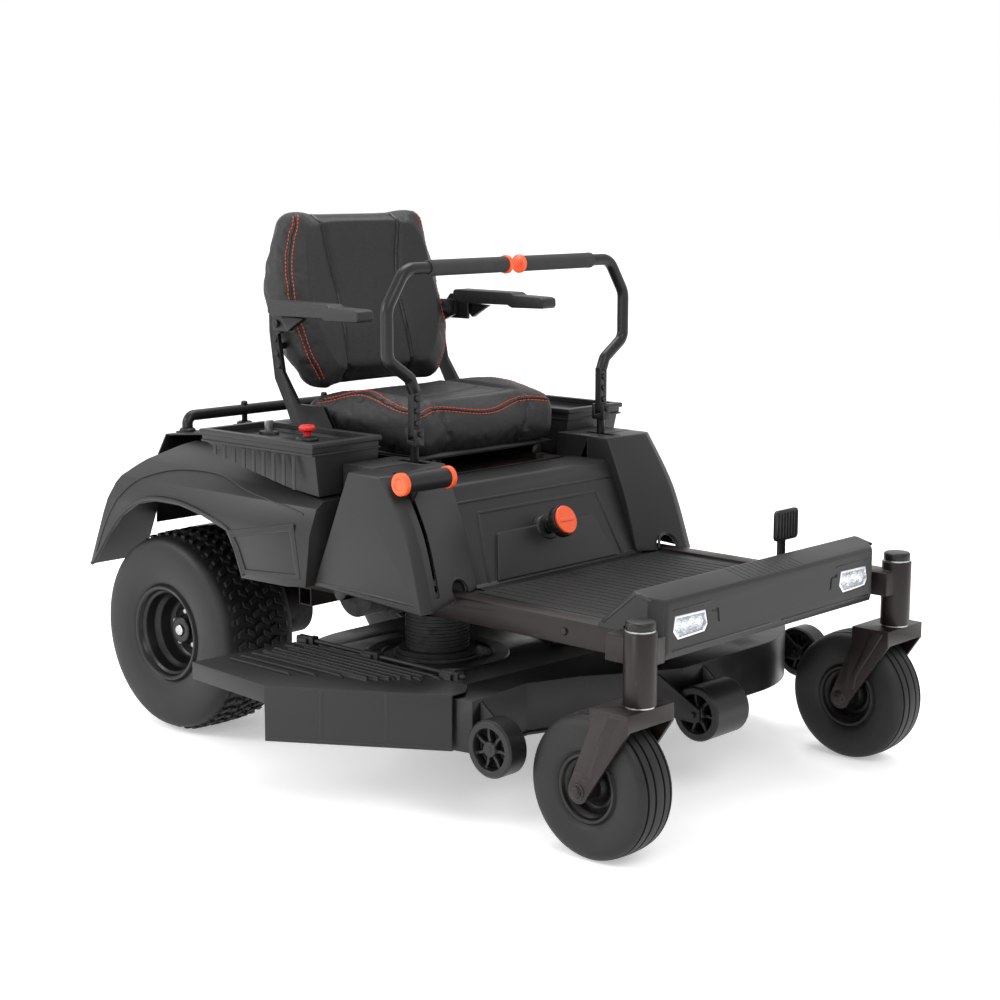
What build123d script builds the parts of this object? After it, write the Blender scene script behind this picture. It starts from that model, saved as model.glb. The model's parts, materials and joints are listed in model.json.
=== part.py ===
from build123d import *
import math
import os

# Zero turn riding mower, battery-electric, 42 inch cut.
# Working frame, in millimetres: x = 0 is the machine's middle plane, +X is the driver's left,
# -Y is forward and z = 0 is the ground. Everything is moved at the end, so that the origin is
# under the middle of the whole machine's bounding box.

# ---- driving dimensions ----
GAP = 0.3                     # clearance between faces that slide past each other
RUN = 0.05                    # radial running clearance of a shaft in its bore
SHEET = 3.0                   # wall of the pressed and moulded panels
STEEL = 5.0                   # wall of the deck and of the brackets

REAR_TYRE_R = 228.6
REAR_TYRE_W = 210.0
REAR_RIM_R = 101.6
REAR_TRACK_HALF = 387.0
REAR_AXLE_Y = 837.0
AXLE_R = 12.7

CASTER_TYRE_R = 139.7
CASTER_TYRE_W = 102.0
CASTER_RIM_R = 63.5
CASTER_X = 433.0
CASTER_PIVOT_Y = -494.0
CASTER_TRAIL = 88.0
SLEEVE_R = 31.0
SLEEVE_BOTTOM = 307.0
SLEEVE_TOP = 444.0
STEM_R = 15.9
FORK_PLATE = 8.0
FORK_GAP = 9.0                # between the tyre's side and the fork's arm
CASTER_BOLT_R = 8.0

RAIL_OUTER_X = 360.0
RAIL_W = 40.0
RAIL_H = 50.0
RAIL_WALL = 3.0
RAIL_TOP = 415.0
RAIL_FRONT_Y = -410.0
RAIL_REAR_Y = 520.0
REAR_RAIL_OUTER_X = 250.0
REAR_RAIL_END_Y = 1010.0
BEAM_D = 45.0

COVER_HALF_W = 372.0
COVER_FRONT_Y = -488.0
LAMP_X = 276.0
LAMP_Z = 427.6
LAMP_W = 110.0
LAMP_H = 50.0
LAMP_D = 22.0

TOWER_RIGHT_X = 483.0         # the right tower is wider, because it holds the lift lever
TOWER_LEFT_X = 411.0
TOWER_RIGHT_FRONT = (118, 46, 5)
TOWER_LEFT_FRONT = (154, 77, 23)
TOWER_RIGHT_FOOT = 397.0
TOWER_LEFT_FOOT = 404.0
TOWER_INNER_X = 262.0
TOWER_TOP = 662.0
HOOD_HALF_W = 345.0
KNEE_FOOT_Y = 80.0
KNEE_TOP_Y = 165.0
KNEE_TOP_Z = 612.0

LAP_X = 300.0
LAP_Y = 217.0
LAP_PIVOT_Z = 550.0
LAP_SWING_Z = 722.0
LAP_TOP_Z = 1062.0
LAP_OUT_X = 376.0
LAP_TUBE_R = 13.0
LAP_PIN_R = 8.0

LIFT_X = 425.0
LIFT_PIVOT_Y = 312.0
LIFT_PIVOT_Z = 392.0
LIFT_GRIP_Y = 77.0
LIFT_GRIP_Z = 652.0
LIFT_GRIP_X = 410.0
LIFT_GRIP_LENGTH = 145.0
KNOB_R = 35.0
KNOB_STEM_R = 9.0
SWITCH_X = -372.0
SWITCH_Y = 470.0
SWITCH_R = 8.0
KEY_X = -360.0
KEY_Y = 610.0
KEY_R = 6.0
PEDAL_X = 190.0
PEDAL_PIVOT_Y = -365.0
PEDAL_PIVOT_Z = 385.0

DECK_TOP = 254.0
DECK_BOTTOM = 150.0
BLADE_X = 262.0
BLADE_LEFT_Y = 20.0
BLADE_RIGHT_Y = 190.0
BLADE_R = 270.0
BLADE_TIP_GAP = 16.0
ROLLER_R = 57.0
ROLLER_W = 50.0
ROLLER_Z = 178.0
ROLLER_PIN_R = 6.0
SIDE_ROLLER_X = (-490.0, 535.0)
SIDE_ROLLER_Y = -195.0
FRONT_ROLLER_Y = -335.0
FRONT_ROLLER_W = 110.0
SPINDLE_R = 12.0
CHUTE_HINGE_X = 420.0
CHUTE_HINGE_Z = 272.0
CHUTE_PIN_R = 5.0
CHUTE_LUGS_Y = (-30.0, 200.0, 400.0)
CHUTE_REACH = 710.0

SEAT_W = 500.0
SEAT_FRONT_Y = 270.0
SEAT_REAR_Y = 680.0
SEAT_BOTTOM = 655.0
SEAT_FRONT_Z = 752.0
SEAT_SIDE_Z = 800.0
BACK_TOP_Z = 1178.0
BACK_BOTTOM_Z = 785.0
BACK_W = 440.0
ARM_X = 292.0
ARM_W = 50.0
ARM_PIVOT_Y = 672.0
ARM_PIVOT_Z = 925.0
ARM_PIN_R = 5.0
ARM_FRONT_Y = 368.0
ARM_TOP_Z = 980.0

FENDER_OUTER_X = 500.0
FENDER_INNER_X = 270.0
FENDER_TAIL_Y = 1097.0
TRAY_TOP = 710.0
TRAY_INNER_X = 305.0
TRAY_FRONT_Y = 318.0
TRAY_REAR_Y = 676.0
CUP_X = 372.0
CUP_Y = 378.0
CUP_R = 42.0
CUP_DEPTH = 60.0

BAR_Y = 975.0
BAR_Z = 695.0
BAR_R = 12.7
BAR_HALF_L = 300.0
BAR_POST_X = 128.0
BAR_FOOT_Z = 660.0
HITCH_HOLE_R = 9.5
HITCH_PLATE = 6.0
HITCH_Z = 330.0
HITCH_HOLE_Y = 1070.0

# ---- worked out from them ----
RAIL_INNER_X = RAIL_OUTER_X - RAIL_W
RAIL_BOTTOM = RAIL_TOP - RAIL_H
CASTER_AXLE_Y = CASTER_PIVOT_Y + CASTER_TRAIL
REAR_RAIL_INNER_X = REAR_RAIL_OUTER_X - RAIL_W
BEAM_FRONT_Y = RAIL_FRONT_Y - BEAM_D
FLOOR_TOP = RAIL_TOP - 5
DECK_INSIDE_R = BLADE_R + BLADE_TIP_GAP


def block(x0, x1, y0, y1, z0, z1):
    """A box between two corners."""
    size = (abs(x1 - x0), abs(y1 - y0), abs(z1 - z0))
    return Pos((x0 + x1) / 2, (y0 + y1) / 2, (z0 + z1) / 2) * Box(*size)


def side_slab(points, x0, x1):
    """An outline in (y, z), pulled along X from x0 to x1."""
    face = make_face(Polyline(*points, close=True))
    return extrude(Plane.YZ.offset(x0) * face, amount=x1 - x0)


def front_slab(points, y0, y1):
    """An outline in (x, z), pulled along Y from y0 to y1."""
    face = make_face(Polyline(*points, close=True))
    return extrude(Plane.XZ.offset(-y1) * face, amount=y1 - y0)


def plan_slab(points, z0, z1):
    """An outline in (x, y), pulled up from z0 to z1."""
    face = make_face(Polyline(*points, close=True))
    return extrude(Plane.XY.offset(z0) * face, amount=z1 - z0)


def rod_x(x0, x1, y, z, radius):
    """A round bar along X."""
    return Pos((x0 + x1) / 2, y, z) * Rot(0, 90, 0) * Cylinder(radius, abs(x1 - x0))


def rod_z(x, y, z0, z1, radius):
    """A round bar along Z."""
    return Pos(x, y, (z0 + z1) / 2) * Cylinder(radius, z1 - z0)


def spun_x(points, x, y, z):
    """A ring or disc about X: an outline of (distance along X, radius), turned about the axis."""
    face = make_face(Polyline(*points, close=True))
    return Pos(x, y, z) * revolve(face, Axis.X)


def bent_tube(points, bends, radius):
    """A round tube's outside along straight runs joined by arcs."""
    path = FilletPolyline(*points, radius=bends)
    profile = (path ^ 0) * Circle(radius)
    return sweep(profile, path=path)


def box_tube(x0, x1, y0, y1, z0, z1, along):
    """A rectangular tube, open at both ends of the named axis."""
    wall = RAIL_WALL
    cut = {"x": (0, wall, wall), "y": (wall, 0, wall), "z": (wall, wall, 0)}[along]
    inside = block(x0 + cut[0], x1 - cut[0], y0 + cut[1], y1 - cut[1], z0 + cut[2], z1 - cut[2])
    return block(x0, x1, y0, y1, z0, z1) - inside


def mirrored(shape):
    """The same piece on the machine's right."""
    return mirror(shape, about=Plane.YZ)


def both(shape):
    """A left piece and its mirror image, as two solids."""
    return [shape, mirrored(shape)]


# ---- frame ----
def frame_rail():
    tube = box_tube(RAIL_INNER_X, RAIL_OUTER_X, RAIL_FRONT_Y, RAIL_REAR_Y, RAIL_BOTTOM, RAIL_TOP, "y")
    pin_hole = rod_x(RAIL_INNER_X - 1, RAIL_OUTER_X + 1, LIFT_PIVOT_Y, LIFT_PIVOT_Z, LAP_PIN_R + RUN)
    return tube - pin_hole


def rear_rail():
    return box_tube(REAR_RAIL_INNER_X, REAR_RAIL_OUTER_X, RAIL_REAR_Y, REAR_RAIL_END_Y,
                    RAIL_BOTTOM, RAIL_TOP, "y")


def cross_members():
    top = RAIL_TOP - 8
    tubes = []
    for y in (-180.0, 60.0):
        tubes.append(box_tube(-RAIL_INNER_X, RAIL_INNER_X, y - 20, y + 20, top - 40, top, "x"))
    tubes.append(box_tube(-RAIL_OUTER_X, RAIL_OUTER_X, RAIL_REAR_Y - 40, RAIL_REAR_Y,
                          RAIL_BOTTOM - 40, RAIL_BOTTOM, "x"))
    tubes.append(box_tube(-REAR_RAIL_OUTER_X, REAR_RAIL_OUTER_X, REAR_RAIL_END_Y,
                          REAR_RAIL_END_Y + 40, RAIL_BOTTOM, RAIL_TOP, "x"))
    splice = block(REAR_RAIL_INNER_X, RAIL_OUTER_X, RAIL_REAR_Y - 40, RAIL_REAR_Y + 30,
                   RAIL_TOP, RAIL_TOP + STEEL)
    return tubes + both(splice)


def front_beam():
    """The cross beam and the two tubes that hold the casters' stems."""
    z0 = RAIL_BOTTOM + 11
    z1 = z0 + RAIL_H
    beam = box_tube(-CASTER_X, CASTER_X, BEAM_FRONT_Y, RAIL_FRONT_Y, z0, z1, "x")
    for side in (-1, 1):
        x = side * CASTER_X
        x_in = side * (COVER_HALF_W + 4)
        beam += block(x_in, x, CASTER_PIVOT_Y - 12, RAIL_FRONT_Y, z0, z1)
        beam += rod_z(x, CASTER_PIVOT_Y, SLEEVE_BOTTOM, SLEEVE_TOP, SLEEVE_R)
        beam -= rod_z(x, CASTER_PIVOT_Y, SLEEVE_BOTTOM - 1, SLEEVE_TOP + 1, STEM_R + 6)
    return beam


def sleeve_bushes():
    """A flanged bush in each end of each caster tube."""
    bushes = []
    for z0, z1, lip in ((SLEEVE_BOTTOM, SLEEVE_BOTTOM + 30, SLEEVE_BOTTOM - 3),
                        (SLEEVE_TOP - 30, SLEEVE_TOP, SLEEVE_TOP)):
        bush = rod_z(CASTER_X, CASTER_PIVOT_Y, z0, z1, STEM_R + 6)
        bush += rod_z(CASTER_X, CASTER_PIVOT_Y, lip, lip + 3, SLEEVE_R - 3)
        bush -= rod_z(CASTER_X, CASTER_PIVOT_Y, z0 - 5, z1 + 5, STEM_R + RUN)
        bushes += both(bush)
    return bushes


def sleeve_caps():
    z0 = SLEEVE_TOP + 3
    cap = rod_z(CASTER_X, CASTER_PIVOT_Y, z0, z0 + 16, SLEEVE_R - 3)
    cap = chamfer(cap.edges().sort_by(Axis.Z)[-1], 3)
    cap -= rod_z(CASTER_X, CASTER_PIVOT_Y, z0 - 1, z0 + 12, SLEEVE_R - 8)
    return both(cap)


def hitch_plate():
    y0 = REAR_RAIL_END_Y + 40
    plate = block(-60, 60, y0 - 30, HITCH_HOLE_Y + 22, HITCH_Z, HITCH_Z + HITCH_PLATE)
    plate += block(-60, 60, y0, y0 + HITCH_PLATE, HITCH_Z, RAIL_TOP - 10)
    return plate - rod_z(0, HITCH_HOLE_Y, HITCH_Z - 1, HITCH_Z + HITCH_PLATE + 1, HITCH_HOLE_R)


def seat_support():
    """A table under the seat: a plate on four legs, with two runners on top."""
    z1 = SEAT_BOTTOM - 42
    under = z1 - SHEET
    front_y = SEAT_FRONT_Y + 75
    rear_y = RAIL_REAR_Y - 32
    plate = block(-235, 235, SEAT_FRONT_Y + 5, SEAT_REAR_Y - 30, under, z1)
    front_leg = box_tube(206, 232, front_y, front_y + 26, RAIL_BOTTOM, under, "z")
    tie = box_tube(232, RAIL_INNER_X, front_y, front_y + 26, RAIL_BOTTOM, RAIL_TOP, "x")
    rear_leg = box_tube(206, 232, rear_y, rear_y + 26, RAIL_TOP + STEEL, under, "z")
    runner = block(150, 174, SEAT_FRONT_Y + 10, SEAT_REAR_Y - 40, z1, z1 + 14)
    return [plate] + both(front_leg) + both(tie) + both(rear_leg) + both(runner)


def lap_brackets():
    """A fork-shaped bracket on each rail, with bores for the lap bar's pivot pin."""
    half = LAP_PIN_R + 22
    bracket = block(LAP_X - 30, RAIL_OUTER_X - 4, LAP_Y - half, LAP_Y + half, RAIL_TOP, RAIL_TOP + STEEL)
    for x in (LAP_X - 30, LAP_X + 25):
        bracket += block(x, x + STEEL, LAP_Y - half, LAP_Y + half, RAIL_TOP, LAP_PIVOT_Z + 8)
        bracket += rod_x(x, x + STEEL, LAP_Y, LAP_PIVOT_Z, half - 8)
    bracket -= rod_x(LAP_X - 40, LAP_X + 40, LAP_Y, LAP_PIVOT_Z, LAP_PIN_R + RUN)
    return both(bracket)


# ---- body work ----
def floor_pan():
    front = -346
    step = KNEE_FOOT_Y - 30
    middle = TOWER_INNER_X - GAP
    pan = block(-RAIL_INNER_X, RAIL_INNER_X, front, step, FLOOR_TOP - SHEET, FLOOR_TOP)
    return pan + block(-middle, middle, step - 1, KNEE_FOOT_Y - 4, FLOOR_TOP - SHEET, FLOOR_TOP)


def cover_outline(inset):
    """The footrest cover's side view, drawn in by a wall's thickness."""
    i = inset
    return [(COVER_FRONT_Y + 8 + i, 369), (COVER_FRONT_Y + i, 481 - i * 0.4),
            (-430 - i * 0.2, 498 - i), (-341 - i, 420 - i * 0.6), (-341 - i, 369)]


def footrest_cover():
    """A hollow front cover, open below and behind, with lamp openings and a pedal slot."""
    shell = side_slab(cover_outline(0), -COVER_HALF_W, COVER_HALF_W)
    shell -= side_slab(cover_outline(SHEET), -COVER_HALF_W + SHEET, COVER_HALF_W - SHEET)
    beyond = COVER_HALF_W + 1
    shell -= block(-beyond, beyond, COVER_FRONT_Y + 18, RAIL_FRONT_Y + 5, 360, RAIL_TOP + 14)
    shell -= block(-beyond, beyond, RAIL_FRONT_Y, -330, 360, RAIL_TOP + 2)
    for side in (-1, 1):
        x = side * LAMP_X
        shell -= block(x - LAMP_W / 2, x + LAMP_W / 2, COVER_FRONT_Y - 5, COVER_FRONT_Y + 12,
                       LAMP_Z - LAMP_H / 2, LAMP_Z + LAMP_H / 2)
    return shell - block(PEDAL_X - 14, PEDAL_X + 14, -424, -345, 420, 500)


def lamp_housing():
    """An open box behind the cover's lamp opening."""
    half_w = LAMP_W / 2
    half_h = LAMP_H / 2
    back = COVER_FRONT_Y + 5 + LAMP_D
    box = block(LAMP_X - half_w, LAMP_X + half_w, COVER_FRONT_Y, back, LAMP_Z - half_h, LAMP_Z + half_h)
    return box - block(LAMP_X - half_w + 4, LAMP_X + half_w - 4, COVER_FRONT_Y - 1, back - SHEET,
                       LAMP_Z - half_h + 4, LAMP_Z + half_h - 4)


def lamp_lens():
    half_w = LAMP_W / 2 - 4
    half_h = LAMP_H / 2 - 4
    return block(LAMP_X - half_w, LAMP_X + half_w, COVER_FRONT_Y + 3, COVER_FRONT_Y + 6,
                 LAMP_Z - half_h, LAMP_Z + half_h)


def knee_outline(up):
    """The knee panel's side view: a sloping face, then a shelf back under the seat."""
    return [(KNEE_FOOT_Y - up, FLOOR_TOP), (KNEE_TOP_Y - up, KNEE_TOP_Z + up * 0.6),
            (SEAT_FRONT_Y - 6, KNEE_TOP_Z + up * 0.6), (SEAT_FRONT_Y - 6, KNEE_TOP_Z - SHEET),
            (KNEE_TOP_Y + 2, KNEE_TOP_Z - SHEET), (KNEE_FOOT_Y + SHEET, FLOOR_TOP)]


def knee_panel():
    half = TOWER_INNER_X - GAP
    panel = side_slab(knee_outline(0), -half, half)
    lean = math.degrees(math.atan2(KNEE_TOP_Y - KNEE_FOOT_Y, KNEE_TOP_Z - FLOOR_TOP))
    pad = front_slab([(-190, 0), (-150, 95), (150, 95), (190, 0)], -4, 1)
    panel += Pos(0, KNEE_FOOT_Y, FLOOR_TOP) * Rot(-lean, 0, 0) * pad
    return panel - knob_space()


def knob_axis_place():
    """The frame at the height knob's seat on the knee panel, with Z out of the panel."""
    rise = 95.0
    slope = (KNEE_TOP_Y - KNEE_FOOT_Y) / (KNEE_TOP_Z - FLOOR_TOP)
    lean = math.degrees(math.atan(slope))
    return Pos(0, KNEE_FOOT_Y + rise * slope, FLOOR_TOP + rise) * Rot(90 - lean, 0, 0)


def knob_space():
    return knob_axis_place() * Cylinder(KNOB_STEM_R + RUN, 60)


def height_knob():
    """A stem through the knee panel, with a round grip on its end."""
    stem = Pos(0, 0, 20) * Cylinder(KNOB_STEM_R, 70)
    collar = Pos(0, 0, 12) * Cylinder(17, 8)
    grip = Pos(0, 0, 52) * Cylinder(KNOB_R, 26)
    grip = chamfer(grip.edges().sort_by(Axis.Z)[-1], 3)
    return knob_axis_place() * (stem + collar + grip)


def tower_face(x, front_top, front_mid, front_foot, foot, inset):
    """One side view of a tower at a given x: straight sides and a bowed front edge."""
    i = inset
    top = TOWER_TOP - i
    low = foot - i * 8
    bow = ThreePointArc((front_top + i, top), (front_mid + i, 545), (front_foot + i, low))
    rest = Polyline((front_foot + i, low), (331 + i * 5, low + 17), (223 + i * 3, top), (front_top + i, top))
    return Plane.YZ.offset(x) * make_face([bow, rest])


def tower(outer_x, front, foot):
    """A tower on the left: a shell whose front leans back and runs further forward outboard."""
    inner_foot = FLOOR_TOP + 1
    outer = loft([tower_face(TOWER_INNER_X, 165, 115, 73, inner_foot, 0),
                  tower_face(outer_x, *front, foot, 0)], ruled=True)
    hollow = loft([tower_face(TOWER_INNER_X + SHEET, 165, 115, 73, inner_foot, SHEET),
                   tower_face(outer_x - SHEET, *front, foot, SHEET)], ruled=True)
    shell = outer - hollow
    shelf_end = TRAY_FRONT_Y - 3
    shelf_x = TOWER_LEFT_X
    skirt_z = TOWER_TOP - 58
    shelf = block(TOWER_INNER_X, shelf_x, LAP_Y - 20, shelf_end, TOWER_TOP - SHEET, TOWER_TOP)
    shelf += block(shelf_x - SHEET, shelf_x, LAP_Y + 8, shelf_end, skirt_z, TOWER_TOP)
    shelf += block(TOWER_INNER_X, TOWER_INNER_X + SHEET, LAP_Y + 8, shelf_end, skirt_z, TOWER_TOP)
    shell += shelf
    shell -= block(LAP_X - 14, LAP_X + 14, LAP_Y - 44, LAP_Y + 50, TOWER_TOP - 20, TOWER_TOP + 5)
    middle = (RAIL_INNER_X + RAIL_OUTER_X) / 2
    arch = block(RAIL_INNER_X - 6, RAIL_OUTER_X + 6, -20, 110, 380, RAIL_TOP + 3)
    arch += Pos(middle, 45, RAIL_TOP + 3) * Rot(90, 0, 0) * Cylinder(RAIL_W / 2 + 6, 130)
    return shell - arch


def tower_left():
    return tower(TOWER_LEFT_X, TOWER_LEFT_FRONT, TOWER_LEFT_FOOT)


def tower_right():
    """The right tower has the lift lever's slot down its front."""
    slot = block(-LIFT_X - 7, -LIFT_X + 7, -20, 150, 422, TOWER_TOP + 5)
    return mirrored(tower(TOWER_RIGHT_X, TOWER_RIGHT_FRONT, TOWER_RIGHT_FOOT)) - slot


def tray():
    """The left side tray, an open box whose outer side sweeps up to the rear."""
    side = [(TRAY_FRONT_Y, TRAY_TOP), (TRAY_REAR_Y, TRAY_TOP), (TRAY_REAR_Y, TRAY_TOP - 27),
            (628, 664), (548, 634), (420, 607), (TRAY_FRONT_Y + 10, 597)]
    body = side_slab(side, TRAY_INNER_X, FENDER_OUTER_X - 8)
    body -= block(TRAY_INNER_X + 10, FENDER_OUTER_X - 18, TRAY_FRONT_Y + 10, TRAY_REAR_Y - 10,
                  TRAY_TOP - 18, TRAY_TOP + 5)
    body -= block(TRAY_INNER_X + 6, FENDER_OUTER_X - 50, CUP_Y + 62, 640, 590, TRAY_TOP - 24)
    flare = front_slab([(FENDER_OUTER_X - 40, 560), (FENDER_OUTER_X + 5, 560), (FENDER_OUTER_X + 5, 683),
                        (FENDER_OUTER_X - 16, 683)], TRAY_FRONT_Y - 5, TRAY_REAR_Y + 5)
    return body - flare


def tray_left():
    """The left tray has a cup holder."""
    return tray() - rod_z(CUP_X, CUP_Y, TRAY_TOP - 18 - CUP_DEPTH, TRAY_TOP, CUP_R)


def tray_right():
    """The right tray has the blade switch's and the key's bores."""
    body = mirrored(tray())
    for x, y, radius in ((SWITCH_X, SWITCH_Y, SWITCH_R), (KEY_X, KEY_Y, KEY_R)):
        body -= rod_z(x, y, TRAY_TOP - 45, TRAY_TOP, radius + RUN)
    return body


def fender_top():
    """The fender's outline in (y, z), from its front foot over the top to the tail."""
    return [(338, 411), (315, 590), (420, 601), (548, 627), (640, 660), (720, 674), (832, 674),
            (910, 640), (960, 600), (1000, 558), (1039, 483), (FENDER_TAIL_Y, 354)]


def fender_arch():
    """The wheel opening's outline, from the tail to the front foot."""
    return [(1079, 358), (1020, 432), (967, 484), (905, 519), (845, 532), (759, 533), (675, 520),
            (594, 498), (569, 460), (544, 401), (400, 404)]


def fender_section(inset):
    """The fender's outline in (x, z): the top falls outwards, then turns down into the side."""
    i = inset
    inner_x = FENDER_INNER_X - i * 3
    return [(inner_x, 300), (inner_x, 700 - i), (290, 700 - i), (300, 668 - i), (440, 612 - i),
            (485 - i * 0.5, 575 - i * 0.5), (FENDER_OUTER_X - i, 520), (FENDER_OUTER_X - i, 300)]


def fender():
    outer = side_slab(fender_top() + fender_arch(), FENDER_INNER_X, FENDER_OUTER_X)
    outer = outer & front_slab(fender_section(0), 300, 1110)
    hollow_outline = make_face(Polyline(*fender_top(), (FENDER_TAIL_Y, 250), (338, 250), close=True))
    hollow_outline = offset(hollow_outline, -SHEET, kind=Kind.INTERSECTION)
    hollow = extrude(Plane.YZ.offset(FENDER_INNER_X - 5) * hollow_outline,
                     amount=FENDER_OUTER_X + 5 - FENDER_INNER_X)
    hollow = hollow & front_slab(fender_section(SHEET), 290, 1110)
    shell = outer - hollow
    shell -= block(FENDER_INNER_X - 1, HOOD_HALF_W, 688, 1110, 300, 720)
    return shell - block(RAIL_INNER_X - 4, RAIL_OUTER_X + 4, 300, 420, 380, RAIL_TOP + 3)


def rear_hood():
    """A bent cover between the fenders, over the battery."""
    half = HOOD_HALF_W - GAP
    line = [(690, 660), (820, 672), (1000, 655), (1036, 600), (1046, 440)]
    back = [(1046 - SHEET, 440), (1033, 598), (998, 652), (820, 669), (690, 657)]
    hood = side_slab(line + back, -half, half)
    for x in (-BAR_HALF_L, -BAR_POST_X, BAR_POST_X, BAR_HALF_L):
        hood += block(x - 20, x + 20, BAR_Y - 18, BAR_Y + 18, 654, BAR_FOOT_Z)
    return hood


def rear_bar():
    """A tube across the back, bent down at both ends to pads on the hood, with two middle posts."""
    bar = bent_tube([(-BAR_HALF_L, BAR_Y, BAR_FOOT_Z), (-BAR_HALF_L, BAR_Y, BAR_Z),
                     (BAR_HALF_L, BAR_Y, BAR_Z), (BAR_HALF_L, BAR_Y, BAR_FOOT_Z)], [20, 20], BAR_R)
    for x in (-BAR_POST_X, BAR_POST_X):
        bar += rod_z(x, BAR_Y, BAR_FOOT_Z, BAR_Z, 7)
    return bar


# ---- power ----
def battery_pack():
    case = block(-230, 230, RAIL_REAR_Y + 35, 960, RAIL_TOP, 590)
    return fillet(case.edges().filter_by(Axis.Z), 12)


def drive_motor():
    """A motor with its gear end, hung from the rear rail, with the axle's bore."""
    body = rod_x(96, 262, REAR_AXLE_Y, REAR_TYRE_R, 62)
    body += rod_x(180, 262, REAR_AXLE_Y, REAR_TYRE_R, 74)
    body += block(REAR_RAIL_INNER_X, REAR_RAIL_OUTER_X, REAR_AXLE_Y - 60, REAR_AXLE_Y + 60,
                  REAR_TYRE_R, RAIL_BOTTOM)
    return body - rod_x(120, 270, REAR_AXLE_Y, REAR_TYRE_R, AXLE_R + RUN)


# ---- wheels ----
def tyre(radius, bead, width, wall, x, y, z):
    """A tyre as a hollow ring that is open towards the rim, with rounded shoulders."""
    half = width / 2
    outline = [(-half + 8, bead), (-half + 4, bead + 14), (-half, bead + (radius - bead) * 0.5),
               (-half + 3, radius - 26), (-half + 12, radius - 10), (-half + 30, radius - 2),
               (0, radius)]
    w = wall
    inside = [(0, radius - w), (-half + 30, radius - w - 2), (-half + 16 + w / 2, radius - 14 - w / 2),
              (-half + w, bead + (radius - bead) * 0.5), (-half + 8 + w, bead)]
    points = outline + [(-p, r) for p, r in outline[-2::-1]]
    points += [(-p, r) for p, r in inside[::-1]] + inside[1:]
    return spun_x(points, x, y, z)


def rear_tyre():
    return tyre(REAR_TYRE_R, REAR_RIM_R, REAR_TYRE_W, 11, REAR_TRACK_HALF, REAR_AXLE_Y, REAR_TYRE_R)


def rear_rim():
    """A pressed rim with its centre dish, hub and stub axle."""
    half = REAR_TYRE_W / 2 - 8
    r = REAR_RIM_R
    outline = [(half, r), (half, r - 8), (20, r - 12), (12, r - 22), (14, 62), (34, 56), (38, 28),
               (56, 26), (56, 0), (200 - REAR_TRACK_HALF, 0), (200 - REAR_TRACK_HALF, AXLE_R),
               (263 - REAR_TRACK_HALF, AXLE_R), (263 - REAR_TRACK_HALF, 34), (-70, 34), (-70, 22),
               (22, 22), (24, 52), (4, 60), (2, r - 20), (-half + 6, r - 7), (-half, r - 6), (-half, r)]
    return spun_x(outline, REAR_TRACK_HALF, REAR_AXLE_Y, REAR_TYRE_R)


def caster_tyre():
    return tyre(CASTER_TYRE_R, CASTER_RIM_R, CASTER_TYRE_W, 8, CASTER_X, CASTER_AXLE_Y, CASTER_TYRE_R)


def caster_rim():
    half = CASTER_TYRE_W / 2 - 8
    r = CASTER_RIM_R
    bore = CASTER_BOLT_R + RUN
    hub = CASTER_TYRE_W / 2 + FORK_GAP - 1
    outline = [(-half, r), (-half, r - 7), (-14, r - 14), (-8, 30), (-16, 24), (-hub, 22), (-hub, bore),
               (hub, bore), (hub, 22), (16, 24), (8, 30), (14, r - 14), (half, r - 7), (half, r)]
    return spun_x(outline, CASTER_X, CASTER_AXLE_Y, CASTER_TYRE_R)


def caster_fork():
    """Stem, top plate, two tapered arms and the axle bolt."""
    arm_x = CASTER_TYRE_W / 2 + FORK_GAP
    top = SLEEVE_BOTTOM - 4
    plate_z = top - FORK_PLATE
    y0 = CASTER_PIVOT_Y - 26
    y1 = CASTER_PIVOT_Y + 62
    fork = rod_z(CASTER_X, CASTER_PIVOT_Y, top - 2, SLEEVE_TOP + 8, STEM_R)
    fork += block(CASTER_X - arm_x - FORK_PLATE, CASTER_X + arm_x + FORK_PLATE, y0, y1, plate_z, top)
    fork += block(CASTER_X - arm_x - FORK_PLATE, CASTER_X + arm_x + FORK_PLATE, y0, y0 + FORK_PLATE,
                  plate_z - 24, top)
    ay = CASTER_AXLE_Y
    az = CASTER_TYRE_R
    outline = [(y0, top), (y0, plate_z - 26), (ay - 23, az - 4), (ay + 22, az + 8), (y1, plate_z - 30), (y1, top)]
    for side in (-1, 1):
        x = CASTER_X + side * (arm_x + FORK_PLATE / 2)
        fork += side_slab(outline, x - FORK_PLATE / 2, x + FORK_PLATE / 2)
        fork += rod_x(x - FORK_PLATE / 2, x + FORK_PLATE / 2, ay, az, 23)
    reach = arm_x + FORK_PLATE + 7
    fork += rod_x(CASTER_X - reach, CASTER_X + reach, ay, az, CASTER_BOLT_R)
    for side in (-1, 1):
        head = CASTER_X + side * (arm_x + FORK_PLATE + 3.5)
        fork += Pos(head, ay, az) * Rot(0, 90, 0) * extrude(RegularPolygon(13, 6), amount=3.5, both=True)
    return fork


# ---- cutting deck ----
def deck_outline(grow):
    """The deck's outline in plan, drawn out by grow: two round lobes joined by a stepped front."""
    r = DECK_INSIDE_R + grow
    lx, ly, ry = BLADE_X, BLADE_LEFT_Y, BLADE_RIGHT_Y
    lobe_l = Pos(lx, ly) * Circle(r)
    lobe_r = Pos(-lx, ry) * Circle(r)
    g = grow
    body = Polyline((-483 - g, -123 - g), (-316, -109 - g), (-203, -151 - g), (-129, -199 - g),
                    (-10, ly - r + 2), (lx, ly - r), (lx, ly + r), (60, ly + r + 60), (-80, ry + r),
                    (-lx, ry + r), (-lx - r * 0.97, ry - 60), close=True)
    return make_face(body) + lobe_l + lobe_r


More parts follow.
